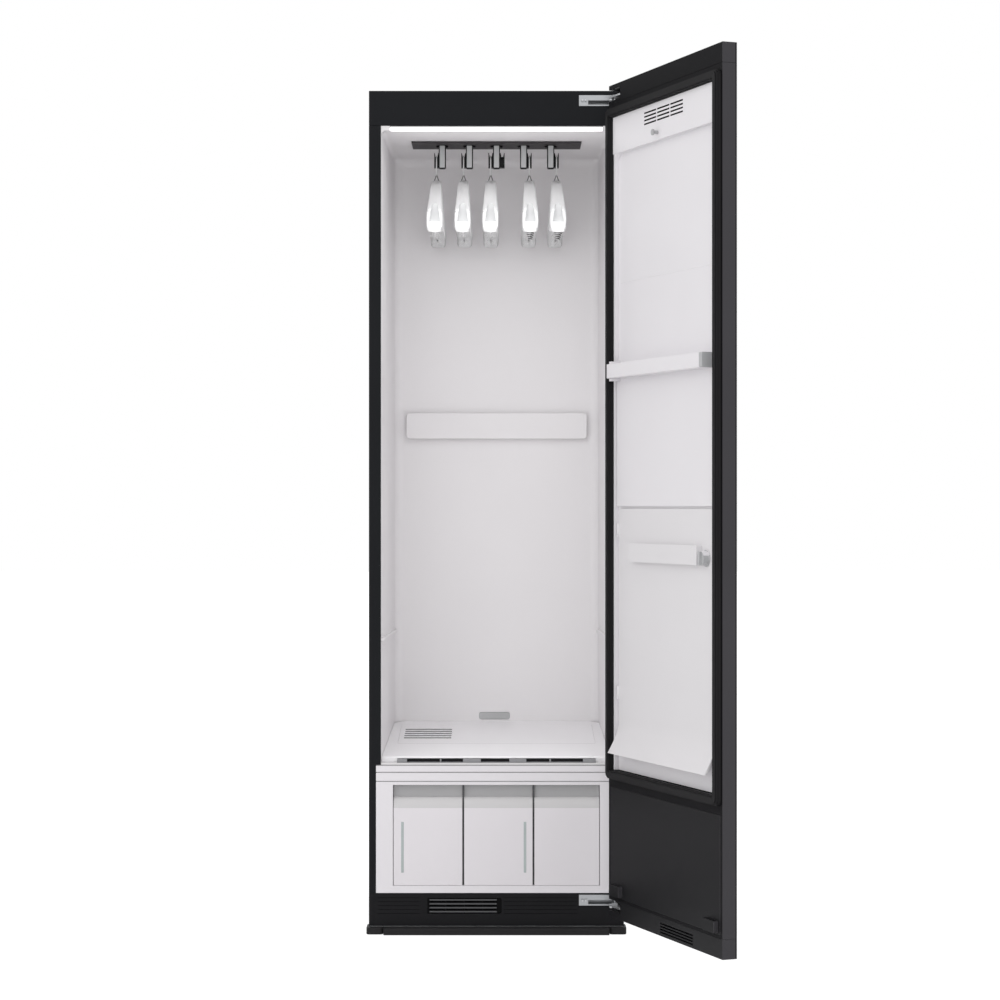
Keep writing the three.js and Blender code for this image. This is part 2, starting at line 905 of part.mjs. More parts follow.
// A section of the arm, between an ellipse and a rectangle.
function hangerLoop(y, drop, width, height) {
  const sides = quarterSteps * 6;
  const fuller = (share) => Math.sign(share) * Math.abs(share) ** armFullness;
  return Array.from({ length: sides }, (_, i) => {
    const angle = (i * 2 * Math.PI) / sides;
    const x = (width / 2) * fuller(Math.cos(angle));
    return new THREE.Vector3(x, y, -drop + (height / 2) * fuller(Math.sin(angle)));
  });
}

// Arched scoop in the end of an arm: its floor slants from deep under the arch to a shallow foot.
function hangerScoop(side) {
  const neck = [0, -scoopTop - scoopNeck];
  const outline = [...circle(neck, scoopNeck).slice(0, circleSides / 2 + 1),
    [-scoopHalf, -scoopFoot], [scoopHalf, -scoopFoot]];
  const fall = (hangerHalf - scoopLip - scoopBack) / (scoopFoot - scoopTop);
  return loft([
    outline.map(([x, z]) => new THREE.Vector3(x, side * (scoopBack - (scoopTop + z) * fall), z)),
    outline.map(([x, z]) => new THREE.Vector3(x, side * (hangerHalf + overrun), z)),
  ]);
}

// Shoulder hanger. Its own origin is on the ceiling, above the saddle that carries it.
function hanger() {
  const hubDrop = hubTop + hubHeight / 2;
  const endDrop = shoulderBottom - shoulderHeight / 2;
  const half = armShares.map((share, i) => ({
    y: share * hangerHalf,
    drop: hubDrop + dropShares[i] * (endDrop - hubDrop),
    width: hubWidth + widthShares[i] * (shoulderWidth - hubWidth),
    height: hubHeight + heightShares[i] * (shoulderHeight - hubHeight),
  }));
  const stations = [...half.slice(1).reverse().map((s) => ({ ...s, y: -s.y })), ...half];
  const arms = loft(stations.map((s) => hangerLoop(s.y, s.drop, s.width, s.height)));
  const body = cut(arms, [-1, 1].map(hangerScoop));
  const bend = saddleRadius + seatGap + wireRadius;
  const centre = -saddleTop - saddleRadius;
  const route = [new THREE.Vector3(0, bend, centre - wireTail)];
  const turnSteps = quarterSteps * 4;
  for (let i = 0; i <= turnSteps; i += 1) {
    const angle = (i / turnSteps) * Math.PI;
    route.push(new THREE.Vector3(0, bend * Math.cos(angle), centre + bend * Math.sin(angle)));
  }
  route.push(
    new THREE.Vector3(0, -bend, centre - wireDrop),
    new THREE.Vector3(0, 0, centre - neckHeight),
    new THREE.Vector3(0, 0, -neckTop),
  );
  const hookWire = wire(new THREE.CatmullRomCurve3(route), wireRadius, quarterSteps * 10, smallSides);
  const forkFoot = -hubTop - hubHeight / 3;
  const legs = [-1, 1].map((side) => wire(
    new THREE.LineCurve3(
      new THREE.Vector3(0, 0, -neckTop + wireRadius + wireRadius),
      new THREE.Vector3(side * forkHalf, 0, forkFoot),
    ),
    forkWire, 1, smallSides,
  ));
  const rodDrop = -shoulderBottom + trouserRodLift;
  const rod = prism(
    circle([0, rodDrop], trouserRodRadius, smallSides),
    'y',
    [-trouserRodHalf, trouserRodHalf],
  );
  const clips = [-1, 1].map((side) => prism(
    [[-clipWidth / 4, rodDrop + clipRise], [-clipWidth / 2, rodDrop - clipDrop],
      [clipWidth / 2, rodDrop - clipDrop], [clipWidth / 4, rodDrop + clipRise]],
    'y',
    [side * clipPlace - clipThickness / 2, side * clipPlace + clipThickness / 2],
  ));
  return joined([body, hookWire, ...legs, rod, ...clips]);
}

function rearBar() {
  const back = cavityDepth - seatGap;
  return prism(
    roundedRectangle([-rearBarHalf, rearBarHalf], [rearBarBottom, rearBarTop], rearBarRadius),
    'y',
    [back - rearBarThickness, back],
  );
}

// The ramp's own frame: the origin on its front top edge, +Y up the slope, +Z square to it.
const rampBack = cavityDepth - seatGap;
const rampAngle = Math.atan2(rampBackHeight - rampFrontHeight, rampBack - rampFront);
const rampFrame = new THREE.Matrix4()
  .makeTranslation(0, rampFront, rampFrontHeight)
  .multiply(new THREE.Matrix4().makeRotationX(rampAngle));

// Sloped floor: a shell open below and in front, with a rebated hole for the filter.
function floorRamp() {
  const floor = cavityFloor + seatGap;
  const rise = (y) => rampFrontHeight + Math.tan(rampAngle) * (y - rampFront);
  const side = (y) => mouthHalf - (cavityDraft * y) / cavityDepth - seatGap - seatGap;
  const backCorner = rampBack - backRadius;
  const plan = [[-side(rampFront), rampFront], [side(rampFront), rampFront], [side(backCorner), backCorner],
    [side(backCorner) - backRadius, rampBack], [backRadius - side(backCorner), rampBack],
    [-side(backCorner), backCorner]];
  const skirted = [[rampFront, floor], [rampBack, floor], [rampBack, rampBackHeight],
    [rampFront + rampNose, rise(rampFront + rampNose)], [rampFront, rampFrontHeight - rampNose]];
  const wedge = prism(skirted, 'x', [-halfWidth, halfWidth]);
  const slope = wedge.intersect(prism(plan, 'z', [0, cabinetHeight]));
  const innerTop = [[rampFront - overrun, floor - overrun], [rampBack - rampWall, floor - overrun],
    [rampBack - rampWall, rise(rampBack - rampWall) - rampWall],
    [rampFront - overrun, rise(rampFront - overrun) - rampWall]];
  const innerHalf = side(rampBack) - backRadius;
  const hollow = prism(innerTop, 'x', [-innerHalf, innerHalf]);
  const hole = block(
    [filterLip - filterHalf, filterHalf - filterLip],
    [filterFront + filterLip, filterBack - filterLip],
    [-filterDepth - overrun, overrun],
    rampFrame,
  );
  const rebate = block(
    [-filterHalf - seatGap, filterHalf + seatGap],
    [filterFront - seatGap, filterBack + seatGap],
    [-filterPlate - seatGap, overrun],
    rampFrame,
  );
  return cut(slope, [hollow, hole, rebate]);
}

// Filter: a plate that fills the rebate over a shallow basket, with an air grille at its left.
function lintFilter() {
  const plate = block([-filterHalf, filterHalf], [filterFront, filterBack], [-filterPlate, 0], rampFrame);
  const inset = filterLip + seatGap;
  const basket = block(
    [inset - filterHalf, filterHalf - inset],
    [filterFront + inset, filterBack - inset],
    [-filterDepth, -filterPlate / 2],
    rampFrame,
  );
  const inner = inset + filterWall;
  const hollow = block(
    [inner - filterHalf, filterHalf - inner],
    [filterFront + inner, filterBack - inner],
    [-filterDepth - overrun, -filterPlate],
    rampFrame,
  );
  const pitch = (grilleBack - grilleFront) / grilleSlots;
  const slots = Array.from({ length: grilleSlots }, (_, i) => block(
    [-grilleLeft, -grilleRight],
    [grilleFront + i * pitch, grilleFront + (i + grilleSlotShare) * pitch],
    [-filterPlate - overrun, overrun],
    rampFrame,
  ));
  return cut(plate.add(basket.subtract(hollow)), slots);
}

// Comb of blocks and thin posts on a low rail, in the slot that draws air under the ramp.
function airSlotGrille() {
  const floor = cavityFloor + seatGap;
  const outside = block(
    [-slotHalf, slotHalf],
    [slotFront, slotFront + slotDepth],
    [floor, floor + slotHeight],
  );
  const mouths = slotMouths.map(([from, to]) => block(
    [from * slotHalf, to * slotHalf],
    [slotFront - overrun, slotFront + slotDepth + overrun],
    [floor + slotRail, floor + slotHeight + overrun],
  ));
  return cut(outside, mouths);
}

// White frame below the cavity with three compartments and the grooves that the door seal meets.
function tankBay() {
  const face = block([-frameHalf, frameHalf], [0, frameThickness], [frameBottom, frameTop]);
  const boxes = block(
    [-bayHalf - bayWall, bayHalf + bayWall],
    [frameThickness / 2, bayDepth + bayWall],
    [bayBottom - bayWall, bayTop + bayWall],
  );
  const rooms = pitchLines.slice(0, -1).map((left, i) => block(
    [left + dividerShare(i), pitchLines[i + 1] - dividerShare(i + 1)],
    [-overrun, bayDepth],
    [bayBottom, bayTop],
  ));
  const mouth = block([-bayHalf, bayHalf], [-overrun, frameThickness], [bayBottom, bayTop]);
  const grooves = sealGrooveDrops.map((drop) => block(
    [-frameHalf - overrun, frameHalf + overrun],
    [-overrun, sealGrooveDepth],
    [cavityFloor - drop - sealGroove / 2, cavityFloor - drop + sealGroove / 2],
  ));
  return cut(face.add(boxes), [mouth, ...rooms, ...grooves]);
}

// Half of a divider's wall on the lines that have one, and nothing on the two outer lines.
function dividerShare(line) {
  return line > 0 && line + 1 < pitchLines.length ? dividerWall / 2 : 0;
}

// Pull-out container: a front with a scooped finger grip over an open-topped box.
function container(index) {
  const left = pitchLines[index] + dividerShare(index) + containerGap;
  const right = pitchLines[index + 1] - dividerShare(index + 1) - containerGap;
  const low = bayBottom + seatGap;
  const high = bayTop - containerGap;
  const bandLow = high - fingerBandHeight;
  const deep = containerFront + fingerBandDepth;
  const scoop = Array.from({ length: quarterSteps * 2 + 1 }, (_, i) => {
    const angle = (i / (quarterSteps * 2)) * (Math.PI / 2);
    const y = containerFront + fingerBandDepth * (1 - Math.cos(angle));
    return [y, bandLow - scoopHeight + scoopHeight * Math.sin(angle)];
  });
  const inner = deep + containerWall;
  const profile = [[containerFront, low], ...scoop, [deep, high], [inner, high], [inner, low]];
  const front = prism([...profile].reverse(), 'x', [left, right]);
  const box = block([left, right], [inner - containerWall / 2, containerDepth], [low, containerTop]);
  const room = block(
    [left + containerWall, right - containerWall],
    [inner, containerDepth - containerWall],
    [low + containerWall, containerTop + overrun],
  );
  return front.add(box.subtract(room));
}

// Black lower front with a louvre.
function fascia() {
  const top = frameBottom - seatGap;
  const low = shellFoot;
  const outside = block([-halfWidth, halfWidth], [0, fasciaThickness], [low, top]);
  const shelfHalf = halfWidth - sheet - seatGap - seatGap;
  const shelves = [top - fasciaThickness, low + panHeight].map((height) => block(
    [-shelfHalf, shelfHalf],
    [0, fasciaDepth],
    [height, height + fasciaThickness],
  ));
  const mouth = block(
    [louvreLeft, louvreRight],
    [-overrun, fasciaThickness + overrun],
    [louvreBottom, louvreTop],
  );
  const pitch = (louvreTop - louvreBottom) / louvreSlats;
  const slats = Array.from({ length: louvreSlats }, (_, i) => {
    const height = louvreBottom + (i + slatShare) * pitch;
    return prism(
      [[sheet / 4, height], [slatDepth, height + slatRise], [slatDepth, height + slatRise + slatThickness],
        [sheet / 4, height + slatThickness]],
      'x',
      [louvreLeft - sheet, louvreRight + sheet],
    );
  });
  const ends = [[louvreLeft - sheet, louvreLeft], [louvreRight, louvreRight + sheet]].map((x) => block(
    x, [fasciaThickness / 2, slatDepth], [louvreBottom - sheet, louvreTop + sheet + slatRise - slatThickness],
  ));
  const ribs = [ribLeft, ribRight].flatMap((x) => Array.from({ length: louvreSlats + 1 }, (_, i) => block(
    x,
    [-overrun, ribDepth],
    [louvreBottom + i * pitch, louvreBottom + i * pitch + ribHeight],
  )));
  const front = cut(joined([outside, ...shelves]), [mouth, ...ribs]);
  return joined([front, ...slats, ...ends]).subtract(hingeCutout(hingeLow));
}

function plinthStrip() {
  return prism(
    [[-plinthFront, 0], [plinthBack, 0], [plinthBack, plinthHeight],
      [plinthChamfer - plinthFront, plinthHeight], [-plinthFront, plinthHeight - plinthChamfer]],
    'x',
    [-plinthHalf, plinthHalf],
  );
}

function plinthCorner(side) {
  const near = plinthHalf + seatGap + seatGap;
  const outline = roundedRectangle([-cornerFront, cornerBack], [near, cornerHalf], cornerRadius);
  const turned = outline.getPoints(quarterSteps).map(({ x, y }) => [side * y, x]);
  return prism(turned, 'z', [0, plinthHeight]);
}

// Steel tray that carries the machinery.
function basePan() {
  const half = halfWidth - sheet - seatGap;
  const back = cabinetDepth - sheet - seatGap;
  const front = fasciaThickness + seatGap;
  const low = plinthHeight + seatGap;
  const tray = block([-half, half], [front, back], [low, low + panHeight]);
  const room = block([panWall - half, half - panWall], [front + panWall, back - panWall],
    [panFloorTop, low + panHeight + overrun]);
  const airWay = block([louvreLeft - overrun, louvreRight + overrun], [0, front + panWall + overrun],
    [louvreBottom - overrun, low + panHeight + overrun]);
  const slatRoom = block([louvreLeft - overrun, louvreRight + overrun], [0, slatDepth + overrun],
    [louvreBottom - overrun, low + panHeight + overrun]);
  return cut(tray, [room, airWay, slatRoom, hingeCutout(hingeLow)]);
}

function foot(x, y) {
  const pad = prism(circle([x, y], footRadius), 'z', [0, footPad]);
  const stem = prism(circle([x, y], footStem), 'z', [0, plinthHeight]);
  return pad.add(stem);
}

function compressor() {
  const low = machineFloor;
  const top = low + compressorPlate + compressorHeight;
  const radius = compressorRadius;
  const profile = [new THREE.Vector2(0, low + compressorPlate / 2)];
  profile.push(new THREE.Vector2(radius - compressorDome, low + compressorPlate / 2));
  const bend = quarterSteps * 2;
  for (let i = 0; i <= bend; i += 1) {
    const angle = (i / bend) * (Math.PI / 2);
    profile.push(new THREE.Vector2(
      radius - compressorDome + compressorDome * Math.sin(angle),
      low + compressorPlate + compressorDome * (1 - Math.cos(angle)),
    ));
  }
  for (let i = 0; i < bend; i += 1) {
    const angle = (i / bend) * (Math.PI / 2);
    const height = top - compressorDome + compressorDome * Math.sin(angle);
    profile.push(new THREE.Vector2(radius * Math.cos(angle), height));
  }
  profile.push(new THREE.Vector2(0, top));
  const can = new THREE.LatheGeometry(profile, circleSides).rotateX(Math.PI / 2);
  const plate = prism(
    roundedRectangle([-radius, radius], [-radius, radius], compressorDome),
    'z',
    [low, low + compressorPlate],
  );
  const turned = solidOf(can);
  return turned.add(plate).translate([compressorX, compressorY, 0]);
}

// Fins in a row on tubes that run through them.
function heatExchanger() {
  const low = machineFloor;
  const span = exchangerRight - exchangerLeft;
  const pitch = (span - finThickness) / (finCount - 1);
  const fins = Array.from({ length: finCount }, (_, i) => block(
    [exchangerLeft + i * pitch, exchangerLeft + i * pitch + finThickness],
    [exchangerFront, exchangerBack],
    [low, low + exchangerHeight],
  ));
  const step = exchangerHeight / tubeRows;
  const depths = [0.3, 0.7].map((share) => exchangerFront + share * (exchangerBack - exchangerFront));
  const tubes = depths.flatMap((y) => Array.from({ length: tubeRows }, (_, i) => prism(
    circle([y, low + (i + 0.5) * step], tubeRadius, smallSides),
    'x',
    [exchangerLeft - tubeRadius, exchangerRight + tubeRadius],
  )));
  return joined([...fins, ...tubes]);
}

// Round fan casing with an inlet in front, a bearing behind and an outlet on top.
function fanHousing() {
  const centre = [fanX, fanZ];
  const drum = prism(circle(centre, fanRadius), 'y', [fanFront, fanBack]);
  const outlet = block(
    [fanX + fanRadius - fanPostWidth, fanX + fanRadius],
    [fanFront, fanBack],
    [fanZ, fanZ + fanRadius + fanPostWidth],
  );
  const room = prism(circle(centre, fanRadius - fanWall), 'y', [fanFront + fanWall, fanBack - fanWall]);
  const throat = block(
    [fanX + fanRadius - fanPostWidth + fanWall, fanX + fanRadius - fanWall],
    [fanFront + fanWall, fanBack - fanWall],
    [fanZ, fanZ + fanRadius + fanPostWidth + overrun],
  );
  const inlet = prism(circle(centre, fanInlet), 'y', [fanFront - overrun, fanFront + fanWall + overrun]);
  const bearing = prism(
    circle(centre, impellerShaft + pinGap),
    'y',
    [fanBack - fanWall - overrun, fanBack + overrun],
  );
  const stand = block(
    [fanX - fanPostWidth / 2, fanX + fanPostWidth / 2],
    [fanFront, fanBack],
    [machineFloor, fanZ - fanRadius + fanWall],
  );
  return joined([cut(drum.add(outlet), [room, throat, inlet, bearing]), stand.subtract(drum)]);
}

// Fan wheel: a disc with a hub and shaft, a ring of blades and a front ring.
function fanImpeller() {
  const centre = [fanX, fanZ];
  const back = fanBack - fanWall - fanWall;
  const front = back - impellerWidth;
  const disc = prism(circle(centre, impellerRadius), 'y', [back - impellerDisc, back]);
  const hub = prism(circle(centre, impellerHub), 'y', [back - impellerWidth / 2, back]);
  const shaft = prism(circle(centre, impellerShaft), 'y', [back - impellerDisc, fanBack + fanWall]);
  const rim = prism(circle(centre, impellerRadius), 'y', [front, front + impellerDisc])
    .subtract(prism(circle(centre, impellerBore), 'y', [front - overrun, front + overrun]));
  const blades = Array.from({ length: bladeCount }, (_, i) => {
    const turn = new THREE.Matrix4()
      .makeTranslation(fanX, 0, fanZ)
      .multiply(new THREE.Matrix4().makeRotationY((i / bladeCount) * 2 * Math.PI));
    return block(
      [impellerBore, impellerRadius - bladeThickness / 2],
      [front + impellerDisc / 2, back - impellerDisc / 2],
      [-bladeThickness / 2, bladeThickness / 2],
      turn,
    );
  });
  return joined([disc, hub, shaft, rim, ...blades]);
}

// Boiler with a pipe that rises behind the cavity to its steam outlet.
function steamGenerator() {
  const low = machineFloor;
  const boiler = prism(
    roundedRectangle([boilerLeft, boilerRight], [boilerFront, boilerBack], boilerRadius),
    'z',
    [low, low + boilerHeight],
  );
  const pipe = block(
    [outletCentre - steamPipeHalf, outletCentre + steamPipeHalf],
    [steamPipeFront, steamPipeBack],
    [low + boilerHeight - overrun, outletTop + linerWall],
  );
  const nozzle = block(
    [outletCentre - outletHalf, outletCentre + outletHalf],
    [cavityDepth + linerWall + seatGap, steamPipeBack],
    [outletBottom - linerWall, outletTop + linerWall],
  );
  const bore = prism(
    roundedRectangle(
      [outletCentre - outletHalf + linerWall, outletCentre + outletHalf - linerWall],
      [outletBottom, outletTop],
      linerWall,
    ),
    'y',
    [cavityDepth, steamPipeBack - linerWall],
  );
  return joined([boiler, pipe, nozzle]).subtract(bore);
}

function controlBox() {
  const low = cavityTop + linerWall + seatGap;
  return prism(
    roundedRectangle([controlLeft, controlRight], [controlFront, controlBack], boilerRadius / 2),
    'z',
    [low, low + controlHeight],
  );
}

// Recessed hinge housing: a steel box behind a screwed plate, with the arm's slot and its pin.
function hingeBody(height) {
  const z = [height - hingeHeight / 2, height + hingeHeight / 2];
  const outside = block([hingeLeft, hingeRight], [-hingeProud, hingeDeep], z);
  const pinX = halfWidth - armPinInset;
  const ear = prism(circle([pinX, -armPinAhead], armHalfWidth), 'z', z);
  const armReach = armLength() + armHalfWidth + hingeWall;
  const x = [pinX - armReach, hingeRight - hingeWall];
  const sill = z[0] + hingeWall;
  const room = block(x, [hingePlate - hingeProud, hingeDeep - hingeWall], [sill, z[1] - hingeWall]);
  const slot = block(x, [-overrun - overrun, hingePlate], [sill, height - armDrop + barStack() + seatGap]);
  const screws = screwHoles.map((inset) => prism(
    circle([hingeLeft + inset, height], screwHole, smallSides),
    'y',
    [-hingeProud - overrun, hingePlate],
  ));
  const pin = prism(circle([pinX, -armPinAhead], hingePin), 'z', z);
  return joined([cut(outside.add(ear), [room, slot, ...screws]), pin]);
}

// How far an arm with the link on top of it rises, with their washers.
function barStack() {
  return armThickness + linkLift + armThickness + linkLift;
}

// The door turns about one axis, so the two links of each hinge form a parallelogram with it: the
// arm is as long as the cup's pin lies from the axis, the link as long as the arm's pin does.
function cupPin() {
  return new THREE.Vector2(doorEdge - cupPinInset, doorInner - cupPinDepth);
}

function axisPoint() {
  return new THREE.Vector2(doorAxisX, -doorAxisAhead);
}

function armPin() {
  return new THREE.Vector2(halfWidth - armPinInset, -armPinAhead);
}

function armVector() {
  return cupPin().sub(axisPoint()).rotateAround(new THREE.Vector2(), doorOpen);
}

function linkVector() {
  return axisPoint().sub(armPin());
}

function armLength() {
  return armVector().length();
}

// Flat bar with a hole at its near end and a pin or a hole at its far end.
function hingeBar(length, low, pinTop) {
  const z = [low, low + armThickness];
  const bar = prism(roundEndedBar(length, armHalfWidth), 'z', z);
  const [nearHole, farHole] = [0, length].map((place) => prism(
    circle([place, 0], hingePin + pinGap),
    'z',
    [low - overrun, low + armThickness + overrun],
  ));
  const farPin = prism(circle([length, 0], hingePin), 'z', [low, low + pinTop]);
  return pinTop > 0 ? bar.subtract(nearHole).add(farPin) : cut(bar, [nearHole, farHole]);
}

function placeHinge(name, height) {
  const arm = new THREE.Group();
  arm.position.set(armPin().x, armPin().y, height - armDrop);
  arm.rotation.z = armVector().angle();
  place(arm, `hinge_arm_${name}`, hingeBar(armLength(), 0, barStack()), finish.castSteel);
  const link = new THREE.Group();
  const knee = armPin().add(armVector());
  link.position.set(knee.x, knee.y, height - armDrop + armThickness + linkLift);
  link.rotation.z = linkVector().angle();
  place(link, `hinge_link_${name}`, hingeBar(linkVector().length(), 0, 0), finish.castSteel);
  cabinet.add(arm, link);
}

// Door places: across from its hinge edge, and inwards from its inner face.
function across([from, to]) {
  return [doorEdge - to, doorEdge - from];
}

function inwards([from, to]) {
  return [doorInner + from, doorInner + to];
}

function hingePocket(height) {
  return block(
    across([-overrun, pocketEnd]),
    inwards([-pocketDepth, overrun]),
    [height - pocketHeight / 2, height + pocketHeight / 2],
  );
}

function doorOuterPanel() {
  const outline = [[-doorEdge, doorOuter + doorSkin], [-doorEdge, doorOuter + doorSkin / 2],
    [doorSkin / 2 - doorEdge, doorOuter], [doorEdge - doorSkin / 2, doorOuter],
    [doorEdge, doorOuter + doorSkin / 2], [doorEdge, doorOuter + doorSkin]];
  return prism(outline, 'z', [doorBottom, cabinetHeight]);
}

// Perimeter frame between the two caps: side walls, an inner face and a cross rail.
function doorFrame() {
  const low = doorBottom + bottomCapHeight + seatGap;
  const high = cabinetHeight - topCapHeight - seatGap;
  const outside = block([-doorEdge, doorEdge], [doorTrayFront, doorInner], [low, high]);
  const inside = block(
    [doorWall - doorEdge, doorEdge - doorWall],
    [doorTrayFront - overrun, doorInner - doorFace],
    [low + doorFace, high - doorFace],
  );
  const linerHole = block(
    across([linerEdge, doorWidth - linerEdge]),
    inwards([-doorThickness, overrun]),
    [linerBottom, linerTop],
  );
  const panelHole = block(
    across([doorWall + doorFace, doorWidth - doorWall - doorFace]),
    inwards([-doorThickness, overrun]),
    [low + doorFace + doorFace, lowerPanelTop],
  );
  return cut(outside, [inside, linerHole, panelHole]);
}

function doorTopCap() {
  const low = cabinetHeight - topCapHeight;
  const cap = block([-doorEdge, doorEdge], [doorTrayFront, doorInner], [low, cabinetHeight]);
  return cap.subtract(hingePocket(hingeHigh));
}

function doorBottomCap() {
  const high = doorBottom + bottomCapHeight;
  const cap = block([-doorEdge, doorEdge], [doorTrayFront, doorInner], [doorBottom, high]);
  const slots = Array.from({ length: doorSlotCount }, (_, i) => block(
    across([doorSlotStart, doorSlotEnd]),
    inwards([-doorWall, overrun]),
    [doorSlotBottom + i * doorSlotPitch, doorSlotBottom + i * doorSlotPitch + doorSlotHeight],
  ));
  return cut(cap, [...slots, hingePocket(hingeLow)]);
}

// Black panel over the door's lower part, with two square bumpers.
function doorLowerPanel() {
  const low = doorBottom + bottomCapHeight + seatGap + doorFace + doorFace + seatGap;
  const span = [doorWall + doorFace + seatGap, doorWidth - doorWall - doorFace - seatGap];
  const back = doorInner - doorFace - lowerPanelThickness;
  const rear = doorTrayFront;
  const panel = block(across(span), [back, doorInner], [low, lowerPanelTop - seatGap]);
  const inner = block(
    across([span[0] + doorWall, span[1] - doorWall]),
    [rear - overrun, doorInner - lowerPanelThickness],
    [low + doorWall, lowerPanelTop - doorWall],
  );
  const bumpers = [bumperInset, doorWidth - bumperInset - bumperLength].map((start) => prism(
    roundedRectangle(across([start, start + bumperLength]), [bumperBottom, bumperTop], doorFace),
    'y',
    inwards([-lowerPanelThickness, bumperProud]),
  ));
  return joined([panel.subtract(inner), ...bumpers]);
}

function sealOutline(inset) {
  return roundedRectangle(
    across([sealInset + inset, doorWidth - sealInset - inset]),
    [linerBottom - sealWidth + inset, linerTop + sealWidth - inset],
    sealRadius - inset * sealRadiusShare,
  );
}

// Soft rounded seal, a closed frame.
function doorGasket() {
  const steps = sealSteps.map(([inset, reach]) => [sealHeight * inset, sealHeight * reach]);
  const low = seatGap;
  const layers = steps.map(([inset, reach]) => {
    const outer = prism(sealOutline(inset), 'y', inwards([low, reach]));
    const inner = prism(sealOutline(sealWidth - inset), 'y', inwards([low - overrun, reach + overrun]));
    return outer.subtract(inner);
  });
  return joined(layers);
}

// White liner: a pan open at its foot, a top band with its vents, a peg and a crease.
function doorLiner() {
  const span = [linerEdge + seatGap, doorWidth - linerEdge - seatGap];
  const z = [linerBottom + seatGap, linerTop - seatGap];
  const back = -panDepth - panFloor;
  const slab = block(across(span), inwards([back, 0]), z);
  const pan = prism(
    roundedRectangle(across([span[0] + panRim, span[1] - panRim]), [z[0] - panRadius, bandBottom], panRadius),
    'y',
    inwards([-panDepth, overrun]),
  );
  const band = block(across(span), inwards([-bandProud, bandProud]), [bandBottom, z[1]]);
  const length = (ventEnd - ventStart + ventGap) / ventGroups;
  const vents = Array.from({ length: ventGroups * ventRows }, (_, i) => {
    const start = ventStart + (i % ventGroups) * length;
    const low = ventBottom + Math.floor(i / ventGroups) * ventPitch;
    return block(
      across([start, start + length - ventGap]),
      inwards([back - overrun, overrun]),
      [low, low + ventHeight],
    );
  });
  const x = doorEdge - pegPlace;
  const peg = joined([
    prism(circle([x, pegHeight], pegRadius), 'y', inwards([0, pegReach])),
    prism(circle([x, pegHeight], pegRim), 'y', inwards([pegReach - pegRimThickness, pegReach])),
  ]);
  const pleat = doorInner - panDepth - seatGap;
  const crease = prism(
    [[pleat, creaseHeight - creaseSize], [pleat + creaseSize / 2, creaseHeight],
      [pleat, creaseHeight + creaseSize]],
    'x',
    across([span[0] + panRim * 2, span[1] - panRim * 2]),
  );
  const ears = [knuckleLow, knuckleHigh].map((height) => knuckleSeat(height));
  return joined([cut(slab.add(band), [pan, ...vents]), peg, crease, ...ears]);
}

// Where the press plate's upright pins stand: across the door and inwards from its face.
const knuckleInwards = knuckleRadius + seatGap + pinGap - panDepth;

// An ear on the liner with the pin that one knuckle of the press plate turns on.
function knuckleSeat(height) {
  const x = doorEdge - plateStart;
  const y = doorInner + knuckleInwards;
  const ear = block(
    [x - knuckleEarHalf, x + knuckleEarHalf],
    [doorInner - panDepth - seatGap, y + knuckleEarHalf],
    [height - knuckleEar, height],
  );
  const pin = prism(circle([x, y], knucklePin, pinSides), 'z', [height - pinGap, height + knuckleLength]);
  return ear.add(pin);
}

// Fixed back panel of the press with the two ears and the pin of the hem clamp.
function pressBackPanel() {
  const low = -panDepth + seatGap;
  const panel = prism(
    roundedRectangle(across([pressStart, pressEnd]), [backPanelBottom, backPanelTop], doorFace),
    'y',
    inwards([low, low + backPanelThickness]),
  );
  const x = doorEdge - clampPin;
  const y = doorInner + clampCentre();
  const reach = clampCentre() + clampNose() / 2;
  const ears = [clampTop + seatGap, clampBottom - seatGap - clampEar].map((height) => block(
    [x - clampEar, x + clampEar],
    inwards([low, reach]),
    [height, height + clampEar],
  ));
  const pin = prism(circle([x, y], clampPinRadius), 'z', [clampBottom - clampEar, clampTop + clampEar]);
  return joined([panel, ...ears, pin]);
}

function clampBack() {
  return -panDepth + seatGap + backPanelThickness + seatGap;
}

function clampNose() {
  return (clampReach - clampBack()) / 2;
}

function clampCentre() {
  return (clampReach + clampBack()) / 2;
}

// Clamp bar: a channel with a round nose about its pin.
function hemClampBar() {
  const end = clampFar - capLength;
  const x = doorEdge - clampPin;
  const y = doorInner + clampCentre();
  const nose = prism(circle([x, y], clampNose()), 'z', [clampBottom, clampTop]);
  const beam = block(across([clampPin, end]), inwards([clampBack(), clampReach]), [clampBottom, clampTop]);
  const channel = block(
    across([clampPin + clampNose() * 2, end - clampWall]),
    inwards([clampBack() - overrun, clampReach - clampWall]),
    [clampBottom + clampWall, clampTop - clampWall],
  );
  const bore = prism(
    circle([x, y], clampPinRadius + pinGap),
    'z',
    [clampBottom - overrun, clampTop + overrun],
  );
  return cut(nose.add(beam), [channel, bore]);
}

function hemClampCap() {
  const start = clampFar - capLength + seatGap;
  const outline = roundedRectangle(
    inwards([clampBack(), clampReach]), [clampBottom, clampTop], doorFace);
  return prism(outline, 'x', across([start, clampFar]));
}

